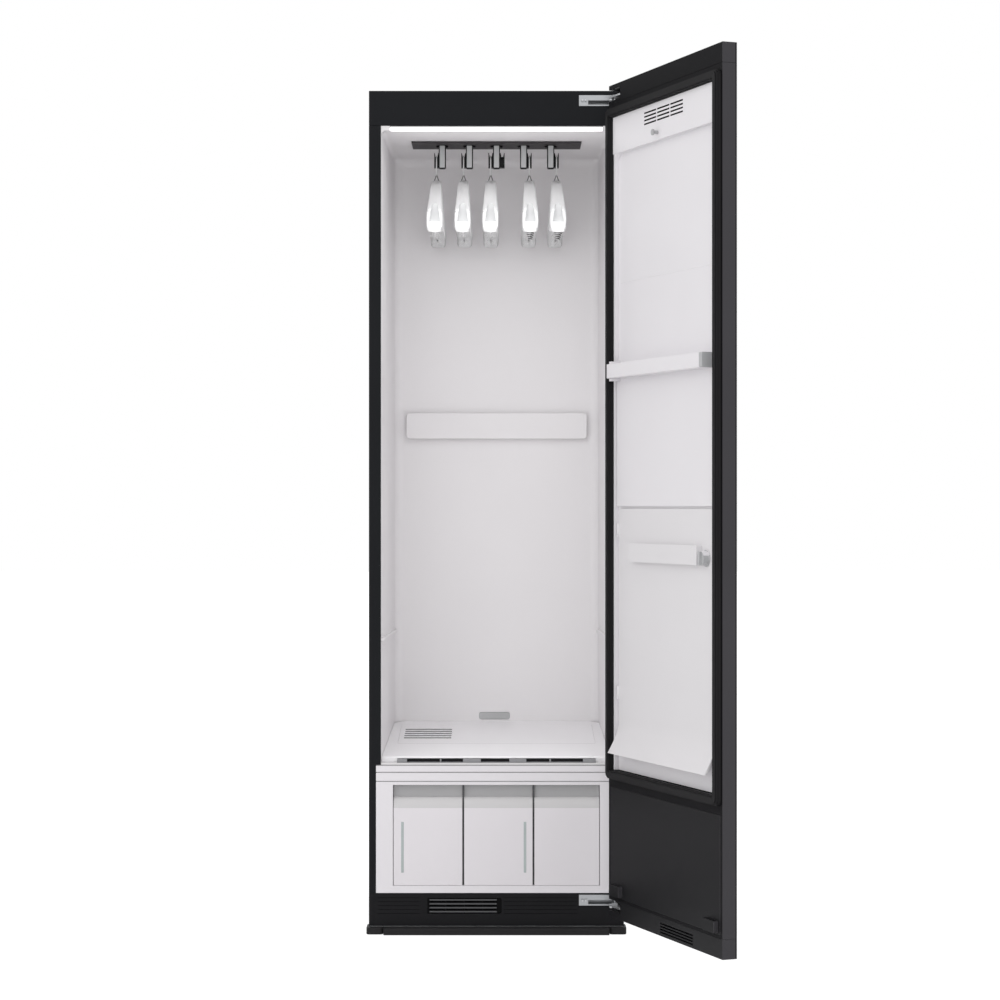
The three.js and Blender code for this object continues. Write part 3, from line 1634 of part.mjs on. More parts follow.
// Press plate: a thin sheet that flares outwards at its foot, with a raised rail and two knuckles.
function pressPlate() {
  const back = -panDepth + plateLift;
  const flare = Array.from({ length: flareSteps + 1 }, (_, i) => {
    const share = i / flareSteps;
    const bow = 1 - Math.cos(share * (Math.PI / 2));
    const lift = (flareReach - back - plateThickness) * bow;
    return [back + lift, flareStart - (flareStart - plateBottom) * share];
  });
  const outer = [...flare].reverse().map(([w, z]) => [w + plateThickness, z]);
  const profile = [[back, plateTop], ...flare, ...outer, [back + plateThickness, plateTop]]
    .map(([w, z]) => [doorInner + w, z]);
  const sheetPlate = prism(profile, 'x', across([plateStart + knuckleRadius, plateEnd]));
  const rail = prism(
    roundedRectangle(across([railStart, railEnd]), [railLow, railHigh], railCorner),
    'y',
    inwards([back + plateThickness / 2, railReach]),
  );
  const x = doorEdge - plateStart;
  const y = doorInner + knuckleInwards;
  const knuckles = [knuckleLow, knuckleHigh].map((height) => {
    const z = [height + seatGap, height + seatGap + knuckleLength];
    const barrel = prism(circle([x, y], knuckleRadius, pinSides), 'z', z);
    const web = block([x - knuckleRadius - plateThickness, x], [doorInner + back, y], z);
    const bore = prism(circle([x, y], knucklePin + pinGap, pinSides), 'z', [z[0] - overrun, z[1] + overrun]);
    return barrel.add(web).subtract(bore);
  });
  const socket = prism(
    circle([doorEdge - knobPlace, knobHeight], knobRadius / 3 + pinGap),
    'y',
    inwards([back - overrun, back + plateThickness + overrun]),
  );
  return joined([sheetPlate.subtract(socket), rail, ...knuckles]);
}

// Turning latch knob on the plate: a collar, a round body with two finger flats, a stub behind.
function pressKnob() {
  const face = -panDepth + plateLift + plateThickness + seatGap;
  const centre = [doorEdge - knobPlace, knobHeight];
  const collar = prism(circle(centre, knobCollarRadius), 'y', inwards([face, face + knobCollar]));
  const body = prism(circle(centre, knobRadius), 'y', inwards([face, knobReach]));
  const flats = [-1, 1].map((side) => block(
    side < 0
      ? [centre[0] - knobRadius - overrun, centre[0] - knobGripWidth / 2]
      : [centre[0] + knobGripWidth / 2, centre[0] + knobRadius + overrun],
    inwards([knobReach - knobGripDepth, knobReach + overrun]),
    [centre[1] - knobRadius - overrun, centre[1] + knobRadius + overrun],
  ));
  const stub = prism(circle(centre, knobRadius / 3), 'y', inwards([face - plateThickness / 2, face]));
  return joined([collar, cut(body, flats), stub]);
}

// Hinge cup in the door's pocket: two plates on a wall, with the link's pin between them.
function hingeCup(height) {
  const half = pocketHeight / 2 - seatGap;
  const z = [height - half, height + half];
  const low = seatGap - pocketDepth;
  const outside = block(across([cupStart, cupEnd]), inwards([low, -seatGap]), z);
  const room = block(
    across([cupStart - overrun, cupEnd + overrun]),
    inwards([low + cupWall, overrun]),
    [z[0] + cupWall, z[1] - cupWall],
  );
  const pin = prism(circle([cupPin().x, cupPin().y], hingePin), 'z', z);
  return outside.subtract(room).add(pin);
}

// The fixed cabinet.
place(cabinet, 'outer_casing', outerCasing(), finish.charcoal);
place(cabinet, 'back_panel', backPanel(), finish.zincSteel);
place(cabinet, 'header_panel', headerPanel(), finish.charcoal);
place(cabinet, 'cavity_liner', cavityLiner(), finish.whitePlastic);
place(cabinet, 'light_strip', lightStrip(), finish.lightLens);
place(cabinet, 'hanger_rail_plate', hangerRailPlate(), finish.darkPlastic);
place(cabinet, 'hanger_drive', hangerDrive(), finish.zincSteel);
place(cabinet, 'rear_bar', rearBar(), finish.whitePlastic);
place(cabinet, 'floor_ramp', floorRamp(), finish.whitePlastic);
place(cabinet, 'lint_filter', lintFilter(), finish.whitePlastic);
place(cabinet, 'air_slot_grille', airSlotGrille(), finish.darkPlastic);
place(cabinet, 'tank_bay', tankBay(), finish.whitePlastic);
['water_supply_tank', 'drain_tank', 'side_drawer'].forEach((name, i) => {
  place(cabinet, name, container(i), finish.whitePlastic);
});
place(cabinet, 'fascia', fascia(), finish.charcoalPlastic);
place(cabinet, 'plinth_strip', plinthStrip(), finish.charcoal);
place(cabinet, 'plinth_corner_left', plinthCorner(-1), finish.charcoalPlastic);
place(cabinet, 'plinth_corner_right', plinthCorner(1), finish.charcoalPlastic);
place(cabinet, 'base_pan', basePan(), finish.zincSteel);
const footX = halfWidth - footInset;
place(cabinet, 'foot_front_left', foot(-footX, footFront), finish.rubber);
place(cabinet, 'foot_front_right', foot(footX, footFront), finish.rubber);
place(cabinet, 'foot_rear_left', foot(-footX, footRear), finish.rubber);
place(cabinet, 'foot_rear_right', foot(footX, footRear), finish.rubber);
place(cabinet, 'compressor', compressor(), finish.charcoalPlastic);
place(cabinet, 'heat_exchanger', heatExchanger(), finish.aluminium);
place(cabinet, 'fan_housing', fanHousing(), finish.zincSteel);
place(cabinet, 'fan_impeller', fanImpeller(), finish.darkPlastic);
place(cabinet, 'steam_generator', steamGenerator(), finish.castSteel);
place(cabinet, 'control_box', controlBox(), finish.boardGreen);

// Hinges.
[['top', hingeHigh], ['bottom', hingeLow]].forEach(([name, height]) => {
  place(cabinet, `hinge_body_${name}`, hingeBody(height), finish.castSteel);
  placeHinge(name, height);
});

// Hooks and hangers. The left three hooks carry theirs on the left, the right two on the right, and
// the middle hook has a cradle on both sides.
const cradleSides = [[-1], [-1], [-1, 1], [1], [1]];
hookPlaces().forEach((x, i) => {
  const station = new THREE.Group();
  station.position.set(x, hookDepth, cavityTop);
  place(station, `hook_${i + 1}`, hook(cradleSides[i]), finish.hookGrey);
  const carried = new THREE.Group();
  carried.position.x = (cradleSides[i][0] * (hookWidth + cradleWidth)) / 2;
  place(carried, `hanger_${i + 1}`, hanger(), finish.hangerWhite);
  station.add(carried);
  cabinet.add(station);
});

// Door, built closed and then turned open about its axis.
const turned = new THREE.Group();
turned.position.set(doorAxisX, -doorAxisAhead, 0);
turned.rotation.z = doorOpen;
const door = new THREE.Group();
door.position.set(-doorAxisX, doorAxisAhead, 0);
turned.add(door);
cabinet.add(turned);
place(door, 'door_outer_panel', doorOuterPanel(), finish.charcoal);
place(door, 'door_frame', doorFrame(), finish.doorEdge);
place(door, 'door_top_cap', doorTopCap(), finish.charcoalPlastic);
place(door, 'door_bottom_cap', doorBottomCap(), finish.charcoalPlastic);
place(door, 'door_lower_panel', doorLowerPanel(), finish.charcoalPlastic);
place(door, 'door_gasket', doorGasket(), finish.rubber);
place(door, 'door_liner', doorLiner(), finish.whitePlastic);
place(door, 'press_back_panel', pressBackPanel(), finish.whitePlastic);
place(door, 'hem_clamp_bar', hemClampBar(), finish.whitePlastic);
place(door, 'hem_clamp_cap', hemClampCap(), finish.castSteel);
place(door, 'press_plate', pressPlate(), finish.whitePlastic);
place(door, 'press_knob', pressKnob(), finish.castSteel);
place(door, 'hinge_cup_top', hingeCup(hingeHigh), finish.castSteel);
place(door, 'hinge_cup_bottom', hingeCup(hingeLow), finish.castSteel);

export default cabinet;
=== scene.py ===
# Clothes care steam cabinet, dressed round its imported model. Metres, +Z up, +Y back into the cabinet.
import math

import bmesh
import bpy
from mathutils import Matrix, Vector


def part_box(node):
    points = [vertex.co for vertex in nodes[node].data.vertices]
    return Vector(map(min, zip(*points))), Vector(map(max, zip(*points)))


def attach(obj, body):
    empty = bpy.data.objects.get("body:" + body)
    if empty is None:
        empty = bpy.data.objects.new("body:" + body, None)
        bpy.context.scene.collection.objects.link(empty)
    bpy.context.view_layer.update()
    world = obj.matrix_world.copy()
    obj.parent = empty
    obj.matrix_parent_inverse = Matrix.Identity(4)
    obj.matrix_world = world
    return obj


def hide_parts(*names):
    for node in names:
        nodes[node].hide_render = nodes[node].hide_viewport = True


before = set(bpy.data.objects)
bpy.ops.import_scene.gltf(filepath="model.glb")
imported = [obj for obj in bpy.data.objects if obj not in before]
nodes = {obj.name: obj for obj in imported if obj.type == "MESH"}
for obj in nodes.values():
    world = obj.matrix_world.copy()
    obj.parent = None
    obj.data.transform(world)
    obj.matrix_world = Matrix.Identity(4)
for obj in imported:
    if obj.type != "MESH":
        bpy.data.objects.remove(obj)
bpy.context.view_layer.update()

# Camera: a level camera a little right of the cabinet's middle and about half its height, far
# enough away that the cabinet's front is seen almost square.
camera_place = (0.0084, -5.8, 0.9944)
frame_width = 36
focal_share = 2.494
camera_data = bpy.data.cameras.new("front_camera")
camera = bpy.data.objects.new("front_camera", camera_data)
bpy.context.scene.collection.objects.link(camera)
camera.location = camera_place
camera.rotation_euler = (math.radians(90), 0, 0)
camera_data.sensor_width = frame_width
camera_data.lens = frame_width * focal_share
camera_data.shift_y = 0.006
camera_data.clip_end = 60
bpy.context.scene.camera = camera

# Steel casing: one bent sheet for the sides and roof, with stiles turned in at the front, sprayed
# satin charcoal with the fine orange peel of sprayed paint. The header is a pressed cap on its front.


def shader_of(material):
    return material.node_tree.nodes["Principled BSDF"]


def linked(material, kind, **values):
    """A new node in a material, with named inputs set."""
    made = material.node_tree.nodes.new(kind)
    for name, value in values.items():
        made.inputs[name.replace("_", " ")].default_value = value
    return made


def surface(name, colour, rough, grain, relief, drift, wear=0.05, metallic=0.0, specular=0.5):
    """A finish whose colour drifts slowly, with fine relief and a roughness that varies a little."""
    material = bpy.data.materials.new(name)
    material.use_nodes = True
    tree = material.node_tree
    shader = shader_of(material)
    shader.inputs["Metallic"].default_value = metallic
    shader.inputs["Specular IOR Level"].default_value = specular
    place = tree.nodes.new("ShaderNodeTexCoord")
    slow = linked(material, "ShaderNodeTexNoise", Scale=3.1, Detail=2.0)
    fine = linked(material, "ShaderNodeTexNoise", Scale=1 / grain, Detail=3.0)
    tree.links.new(place.outputs["Object"], slow.inputs["Vector"])
    tree.links.new(place.outputs["Object"], fine.inputs["Vector"])
    tone = tree.nodes.new("ShaderNodeValToRGB")
    tone.color_ramp.elements[0].position = 0.32
    tone.color_ramp.elements[1].position = 0.68
    tone.color_ramp.elements[0].color = (*[part * (1 - drift) for part in colour], 1)
    tone.color_ramp.elements[1].color = (*[min(1, part * (1 + drift)) for part in colour], 1)
    tree.links.new(slow.outputs["Fac"], tone.inputs["Fac"])
    tree.links.new(tone.outputs["Color"], shader.inputs["Base Color"])
    gloss = linked(material, "ShaderNodeMapRange", To_Min=rough - wear, To_Max=rough + wear)
    tree.links.new(fine.outputs["Fac"], gloss.inputs["Value"])
    tree.links.new(gloss.outputs["Result"], shader.inputs["Roughness"])
    bump = linked(material, "ShaderNodeBump", Strength=relief, Distance=grain / 4)
    tree.links.new(fine.outputs["Fac"], bump.inputs["Height"])
    tree.links.new(bump.outputs["Normal"], shader.inputs["Normal"])
    return material


def dress(node, material):
    """Gives a node of the model a finish, and leaves its mesh alone."""
    node = nodes[node]
    node.data.materials.clear()
    node.data.materials.append(material)


def select_only(piece):
    if bpy.context.object and bpy.context.object.mode != "OBJECT":
        bpy.ops.object.mode_set(mode="OBJECT")
    bpy.ops.object.select_all(action="DESELECT")
    piece.select_set(True)
    bpy.context.view_layer.objects.active = piece


def smooth(piece, degrees=38):
    select_only(piece)
    bpy.ops.object.shade_smooth_by_angle(angle=math.radians(degrees))


def bevel(piece, width, segments=2, degrees=32):
    """Rounds a piece's sharp edges and applies the modifier."""
    select_only(piece)
    edge = piece.modifiers.new("edge", "BEVEL")
    edge.width = width
    edge.segments = segments
    edge.limit_method = "ANGLE"
    edge.angle_limit = math.radians(degrees)
    bpy.ops.object.modifier_apply(modifier=edge.name)
    smooth(piece, degrees)
    even = piece.modifiers.new("even", "WEIGHTED_NORMAL")
    even.keep_sharp = True
    bpy.ops.object.modifier_apply(modifier=even.name)


def eased(node, name, body, edge, material, segments=2, degrees=32):
    """A copy of a node with merged faces and eased edges, which stands for it."""
    source = nodes[node]
    piece = bpy.data.objects.new(name, source.data.copy())
    bpy.context.scene.collection.objects.link(piece)
    select_only(piece)
    bpy.ops.mesh.customdata_custom_splitnormals_clear()
    bpy.ops.object.mode_set(mode="EDIT")
    bpy.ops.mesh.select_all(action="SELECT")
    bpy.ops.mesh.remove_doubles(threshold=0.000002)
    bpy.ops.mesh.dissolve_limited(angle_limit=math.radians(0.6))
    bpy.ops.object.mode_set(mode="OBJECT")
    bevel(piece, edge, segments, degrees)
    piece.data.materials.clear()
    piece.data.materials.append(material)
    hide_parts(node)
    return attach(piece, body)


def inlaid(piece, material, chosen):
    """Gives the faces of a piece that a test picks a second finish."""
    piece.data.materials.append(material)
    number = len(piece.data.materials) - 1
    for face in piece.data.polygons:
        if chosen(face.center, face.normal):
            face.material_index = number


charcoal_paint = surface("charcoal_paint", (0.0112, 0.0119, 0.0138), 0.42, 0.0016, 0.10, 0.05, specular=0.08)
eased("outer_casing", "casing_shell", "cabinet", 0.0005, charcoal_paint)
eased("header_panel", "header_cap", "cabinet", 0.0012, charcoal_paint)

# Back: zinc-coated sheet with two long pressed swages, screwed to the casing's rear edges.
zinc_sheet = surface("zinc_sheet", (0.42, 0.43, 0.44), 0.48, 0.0042, 0.05, 0.035, metallic=0.85)
dress("back_panel", zinc_sheet)
dress("base_pan", zinc_sheet)
dress("hanger_drive", zinc_sheet)


def placed_disc(name, centre, radius, depth, axis, sides=32):
    """A flat cylinder whose axis points along a direction, centred on a point."""
    bpy.ops.object.select_all(action="DESELECT")
    turn = Vector(axis).to_track_quat("Z", "Y").to_euler()
    bpy.ops.mesh.primitive_cylinder_add(
        vertices=sides, radius=radius, depth=depth, location=centre, rotation=turn)
    piece = bpy.context.object
    piece.name = name
    bpy.ops.object.transform_apply(location=True, rotation=True, scale=True)
    return piece


def screw(name, centre, radius, axis, material, body):
    """A pan-head screw with a cross recess, its head's seat on a point."""
    out = Vector(axis).normalized()
    head = placed_disc(name, Vector(centre) + out * radius * 0.22, radius, radius * 0.5, axis)
    bpy.ops.object.mode_set(mode="EDIT")
    mesh = bmesh.from_edit_mesh(head.data)
    for face in mesh.faces:
        face.select_set(face.normal.dot(out) > 0.9)
    bpy.ops.mesh.inset(thickness=radius * 0.22)
    bpy.ops.transform.translate(value=out * radius * 0.12)
    bpy.ops.object.mode_set(mode="OBJECT")
    across = out.orthogonal().normalized()
    for direction in (across, out.cross(across)):
        bpy.ops.object.select_all(action="DESELECT")
        bpy.ops.mesh.primitive_cube_add(size=1, location=Vector(centre) + out * radius * 0.62)
        slit = bpy.context.object
        basis = Matrix((direction, out.cross(direction), out)).transposed()
        slit.rotation_euler = basis.to_euler()
        slit.scale = (radius * 1.25, radius * 0.26, radius * 0.5)
        select_only(slit)
        bpy.ops.object.transform_apply(location=True, rotation=True, scale=True)
        recess = head.modifiers.new("recess", "BOOLEAN")
        recess.operation = "DIFFERENCE"
        recess.object = slit
        recess.solver = "EXACT"
        select_only(head)
        bpy.ops.object.modifier_apply(modifier=recess.name)
        bpy.data.objects.remove(slit)
    smooth(head)
    head.data.materials.append(material)
    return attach(head, body)


back_low, back_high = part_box("back_panel")
screw_steel = surface("screw_steel", (0.62, 0.63, 0.64), 0.3, 0.0009, 0.04, 0.08, metallic=0.95)
side_room, end_room, screw_rows, head_sunk = 0.009, 0.03, 6, 0.0018
for column, x in enumerate((back_low.x + side_room, back_high.x - side_room)):
    for row in range(screw_rows):
        z = back_low.z + end_room + row * (back_high.z - back_low.z - 2 * end_room) / (screw_rows - 1)
        screw(f"back_screw_{column + 1}_{row + 1}", (x, back_high.y - head_sunk, z), 0.004, (0, 1, 0),
              screw_steel, "cabinet")

# Fascia, plinth and feet: black moulded plastic. The fascia has its louvre, with finger-wide slats,
# and shallow moulded ribs on both sides of it. The plinth strip ends in a separate corner each side.
black_plastic = surface("black_plastic", (0.0105, 0.0103, 0.0118), 0.5, 0.0011, 0.12, 0.07, specular=0.1)
plinth_finish = surface("plinth_finish", (0.026, 0.0255, 0.0265), 0.45, 0.0012, 0.10, 0.07, specular=0.06)
rubber = surface("black_rubber", (0.0135, 0.0132, 0.0142), 0.6, 0.0012, 0.2, 0.1, specular=0.12)
fascia = eased("fascia", "fascia_panel", "cabinet", 0.0003, black_plastic)
for side in ("left", "right"):
    eased(f"plinth_corner_{side}", f"plinth_end_{side}", "cabinet", 0.0015, plinth_finish, 3)
eased("plinth_strip", "plinth_front", "cabinet", 0.0012, plinth_finish, 3)
for foot in ("front_left", "front_right", "rear_left", "rear_right"):
    eased(f"foot_{foot}", f"levelling_foot_{foot}", "cabinet", 0.001, rubber)


def slab(name, low, high, edge, material, body, segments=2, turn=None):
    """A block between two corners with eased edges, turned by a matrix where one is given."""
    bpy.ops.object.select_all(action="DESELECT")
    low, high = Vector(low), Vector(high)
    bpy.ops.mesh.primitive_cube_add(size=1, location=(low + high) / 2, scale=high - low)
    piece = bpy.context.object
    piece.name = name
    bpy.ops.object.transform_apply(location=True, rotation=True, scale=True)
    bevel(piece, edge, segments)
    if turn:
        piece.matrix_world = turn
        bpy.ops.object.transform_apply(location=True, rotation=True, scale=True)
    piece.data.materials.append(material)
    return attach(piece, body)


def merged(name, pieces):
    """Joins like pieces into one."""
    select_only(pieces[0])
    for piece in pieces:
        piece.select_set(True)
    bpy.ops.object.join()
    pieces[0].name = name
    return pieces[0]


slat_grey = surface("slat_grey", (0.085, 0.086, 0.09), 0.45, 0.0011, 0.10, 0.07, specular=0.3)
slat_heights = (0.0509, 0.06, 0.0691, 0.0783)
louvre_left, louvre_right = -0.1555, -0.0005
inlaid(fascia, slat_grey, lambda middle, normal: (
    normal.y < -0.3 and abs(middle.y) < 0.0012 and louvre_left < middle.x < louvre_right
    and any(abs(middle.z - height) < 0.0022 for height in slat_heights)))
louvre_bars = [
    slab(f"louvre_bar_{i}", (x - 0.0007, 0.0009, 0.0472), (x + 0.0007, 0.0075, 0.0826), 0.0003,
         black_plastic, "cabinet")
    for i, x in enumerate((-0.1175, -0.0745, -0.0315))
]
merged("louvre_bars", louvre_bars)
# The sunk faces between the fascia's ribs take a near-black: painted shade in the rib grooves.
rib_groove_shade = surface("rib_groove_shade", (0.0025, 0.0025, 0.003), 0.5, 0.0011, 0.05, 0.07, specular=0.03)
inlaid(fascia, rib_groove_shade, lambda middle, normal: (
    0.0003 < middle.y < 0.0013 and (-0.277 < middle.x < -0.177 or 0.017 < middle.x < 0.19)))
cap_black = surface("louvre_cap", (0.0035, 0.0035, 0.004), 0.4, 0.0011, 0.05, 0.07, specular=0.05)
slab("louvre_cap_left", (-0.1615, -0.0006, 0.0462), (louvre_left, 0.009, 0.0834), 0.0012, cap_black,
     "cabinet", 3)
slab("louvre_cap_right", (louvre_right, -0.0012, 0.0462), (0.0135, 0.009, 0.0834), 0.0045, cap_black,
     "cabinet", 4)

# Cavity liner: one vacuum-formed white moulding with drafted walls, a radiused back and a ledge on
# each side wall. Its front flange sits behind the stiles.
white_moulding = surface("white_moulding", (0.762, 0.746, 0.757), 0.42, 0.0021, 0.03, 0.012, specular=0.35)
eased("cavity_liner", "liner_moulding", "cabinet", 0.0016, white_moulding, 3)

# Light strip: a milky lens across the mouth's upper edge, lit evenly by a row of diodes behind it.
lens_finish = bpy.data.materials.new("lit_lens")
lens_finish.use_nodes = True
lens_shader = shader_of(lens_finish)
lens_shader.inputs["Base Color"].default_value = (0.5, 0.5, 0.505, 1)
lens_shader.inputs["Roughness"].default_value = 0.35
lens_shader.inputs["Emission Color"].default_value = (1, 1, 1, 1)
lens_glow = linked(lens_finish, "ShaderNodeTexNoise", Scale=38.0, Detail=1.0)
lens_place = lens_finish.node_tree.nodes.new("ShaderNodeTexCoord")
lens_level = linked(lens_finish, "ShaderNodeMapRange", To_Min=0.95, To_Max=1.05)
lens_parts = lens_finish.node_tree.nodes.new("ShaderNodeSeparateXYZ")
lit_below, dark_above, lens_strength = 1.8712, 1.8768, 4.0
lens_fall = linked(lens_finish, "ShaderNodeMapRange", From_Min=lit_below, From_Max=dark_above,
                   To_Min=lens_strength, To_Max=0.0)
lens_power = lens_finish.node_tree.nodes.new("ShaderNodeMath")
lens_power.operation = "MULTIPLY"
lens_finish.node_tree.links.new(lens_place.outputs["Object"], lens_glow.inputs["Vector"])
lens_finish.node_tree.links.new(lens_glow.outputs["Fac"], lens_level.inputs["Value"])
lens_finish.node_tree.links.new(lens_place.outputs["Object"], lens_parts.inputs["Vector"])
lens_finish.node_tree.links.new(lens_parts.outputs["Z"], lens_fall.inputs["Value"])
lens_finish.node_tree.links.new(lens_level.outputs["Result"], lens_power.inputs[0])
lens_finish.node_tree.links.new(lens_fall.outputs["Result"], lens_power.inputs[1])
lens_finish.node_tree.links.new(lens_power.outputs[0], lens_shader.inputs["Emission Strength"])
eased("light_strip", "light_lens", "cabinet", 0.001, lens_finish)

# Rear bar: a raised bar of white moulded plastic along the back wall, in the cavity's own white, with
# soft edges all round.
eased("rear_bar", "rear_rail", "cabinet", 0.0022, white_moulding, 3)

# Sloped floor and its lift-out filter: white mouldings with a hairline gap between them. Thin grey
# strips laid in that gap round the filter's opening are painted shade of the gap, and the filter's
# mesh shows through the slots at one side.
floor_moulding = surface("floor_moulding", (0.88, 0.87, 0.885), 0.38, 0.0019, 0.03, 0.012, specular=0.35)
eased("floor_ramp", "sloped_floor", "cabinet", 0.0008, floor_moulding)
tray = eased("lint_filter", "filter_tray", "filter", 0.0005, floor_moulding)
# A grey for the filter's mesh, which also paints shade on the filter's edge faces down in the hairline gap.
mesh_and_gap_shade_grey = surface("mesh_and_gap_shade_grey", (0.27, 0.27, 0.275), 0.5, 0.0016, 0.05, 0.03, specular=0.2)
inlaid(tray, mesh_and_gap_shade_grey, lambda middle, normal: normal.z < 0.9 and middle.z > 0.4)
slope_foot, slope_rise, slope_run = (0, 0.026, 0.409), 0.044, 0.4537
ramp_turn = Matrix.Translation(slope_foot) @ Matrix.Rotation(math.atan2(slope_rise, slope_run), 4, "X")
# Four thin grey strips sunk in the gap round the filter's opening: painted shade of the gap, not a part of
# the filter.
gap_shade_strip_grey = surface("gap_shade_strip_grey", (0.34, 0.335, 0.345), 0.5, 0.0016, 0.05, 0.03, specular=0.2)
strip_outer, strip_inner, strip_front, strip_back, strip_low, strip_high = 0.2385, 0.2373, 0.1605, 0.4115, -0.004, -0.0007
gap_shade_strips = [
    slab(f"filter_gap_shade_strip_{i}", (left, front, strip_low), (right, back, strip_high), 0.0002, gap_shade_strip_grey,
         "cabinet", turn=ramp_turn)
    for i, (left, right, front, back) in enumerate((
        (-strip_outer, -strip_inner, strip_front, strip_back),
        (strip_inner, strip_outer, strip_front, strip_back),
        (-strip_outer, strip_outer, strip_front, 0.1618),
        (-strip_outer, strip_outer, 0.4102, strip_back),
    ))
]
merged("filter_gap_shade_strips", gap_shade_strips)
slab("filter_mesh", (-0.2245, 0.2245, -0.0062), (-0.1105, 0.3645, -0.0045), 0.0003, mesh_and_gap_shade_grey,
     "filter", turn=ramp_turn)

# Air slot: a comb of grey plastic in the slot that draws air in under the slope's front edge, with
# a black sheet behind it: painted shade that stands for the dark space under the slope.
grille_grey = surface("grille_grey", (0.26, 0.26, 0.272), 0.5, 0.001, 0.08, 0.05)
eased("air_slot_grille", "air_comb", "cabinet", 0.0004, grille_grey)
# A black sheet behind the comb, where there is only shade: painted shade.
slab("air_slot_shade_sheet", (-0.2295, 0.0185, 0.3969), (0.2295, 0.0215, 0.4046), 0.0003, black_plastic,
     "cabinet")

# Steam outlet: a grey grille clipped into the back wall's slot, with fine upright bars.
outlet_grey = surface("outlet_grey", (0.43, 0.435, 0.44), 0.45, 0.003, 0.10, 0.12, specular=0.3)
slab("steam_grille", (-0.0440, 0.4806, 0.4577), (0.0330, 0.4836, 0.4753), 0.0062, outlet_grey,
     "cabinet", 4)
outlet_start, outlet_pitch, outlet_half, outlet_count = -0.0365, 0.0062, 0.0007, 11
outlet_bars = [
    slab(f"outlet_bar_{i}", (outlet_start + i * outlet_pitch - outlet_half, 0.4801, 0.4602),
         (outlet_start + i * outlet_pitch + outlet_half, 0.4812, 0.4728),
         0.0003, outlet_grey, "cabinet")
    for i in range(outlet_count)
]
merged("outlet_bars", outlet_bars)

# Lower frame: white moulding round three compartments, with the grooves the door seal meets.
frame_moulding = surface("frame_moulding", (0.81, 0.785, 0.815), 0.4, 0.002, 0.03, 0.012, specular=0.35)
lower_frame = eased("tank_bay", "lower_frame", "cabinet", 0.0005, frame_moulding)
groove_shade_grey = surface("groove_shade_grey", (0.33, 0.325, 0.335), 0.5, 0.0016, 0.05, 0.03, specular=0.2)
# A near-black for painted shade in the gaps round and between the containers.
gap_shade_dark = surface("gap_shade_dark", (0.10, 0.10, 0.104), 0.6, 0.0016, 0.05, 0.05, specular=0.1)
# The grooves' sunk faces and the rebate along the top take grey: painted shade in the grooves.
inlaid(lower_frame, groove_shade_grey, lambda middle, normal: 0.0004 < middle.y < 0.002 and (
    0.3529 < middle.z < 0.3549 or 0.374 < middle.z < 0.376 or middle.z > 0.3902))
# The bevelled edges round the compartments' mouth take near-black: painted shade in the gap round the
# containers.
inlaid(lower_frame, gap_shade_dark, lambda middle, normal: (
    0.0001 < middle.y < 0.0125 and abs(middle.x) < 0.2412 and 0.111 < middle.z < 0.346
    and (abs(middle.x) > 0.2399 or middle.z < 0.1122 or middle.z > 0.3451)))
# Two thin dark strips in the gaps between the containers: painted shade, not parts.
bay_gap_shade_strips = [
    slab(f"bay_gap_shade_strip_{i}", (x - 0.0016, 0.0085, 0.1122), (x + 0.0016, 0.0114, 0.345), 0.0003,
         gap_shade_dark, "cabinet")
    for i, x in enumerate((-0.0770, 0.0863))
]
merged("bay_gap_shade_strips", bay_gap_shade_strips)

# Containers: two tanks and a drawer, blow-moulded white boxes with a scooped grip along the top. Each
# tank has an upright window of clear plastic at one side, to show the water.
container_moulding = surface(
    "container_moulding", (0.795, 0.765, 0.795), 0.38, 0.002, 0.03, 0.012, specular=0.35)
# Painted shade: a grey for the recessed grip band and a darker white for the slope below it.
grip_shade_grey = surface("grip_shade_grey", (0.415, 0.413, 0.42), 0.42, 0.0016, 0.05, 0.02, specular=0.3)
slope_shade_white = surface("slope_shade_white", (0.655, 0.643, 0.65), 0.42, 0.002, 0.03, 0.012, specular=0.3)
window_finish = surface("window_plastic", (0.42, 0.47, 0.47), 0.16, 0.002, 0.02, 0.05, specular=0.6)
slope_low, grip_low, grip_high, grip_deep = 0.2965, 0.3162, 0.3446, 0.0175
for node, piece, body in (
    ("water_supply_tank", "supply_tank_box", "supply_container"),
    ("drain_tank", "drain_tank_box", "drain_container"),
    ("side_drawer", "drawer_box", "drawer"),
):
    box_piece = eased(node, piece, body, 0.0009, container_moulding, 3)
    # The grip band and the slope under it take the painted shade.
    inlaid(box_piece, grip_shade_grey, lambda middle, normal: (
        grip_low < middle.z < grip_high and normal.y < -0.2 and middle.y < grip_deep))
    inlaid(box_piece, slope_shade_white, lambda middle, normal: (
        slope_low < middle.z <= grip_low and middle.y < grip_deep and normal.y < -0.05))
    # The containers' side faces near the front take near-black: painted shade in the gaps beside them.
    inlaid(box_piece, gap_shade_dark, lambda middle, normal: middle.y < 0.016 and abs(normal.x) > 0.4)
slab("supply_tank_window", (-0.2215, 0.0009, 0.1416), (-0.2155, 0.0035, 0.2595), 0.0006, window_finish,
     "supply_container")
slab("drain_tank_window", (0.0635, 0.0009, 0.1416), (0.0695, 0.0035, 0.2595), 0.0006, window_finish,
     "drain_container")

# Hanger rail: a dark moulded plate up against the ceiling, with a round opening for each of the five
# turntables.
rail_finish = surface("rail_finish", (0.036, 0.033, 0.035), 0.5, 0.0013, 0.10, 0.06, specular=0.15)
eased("hanger_rail_plate", "rail_plate", "cabinet", 0.0005, rail_finish)

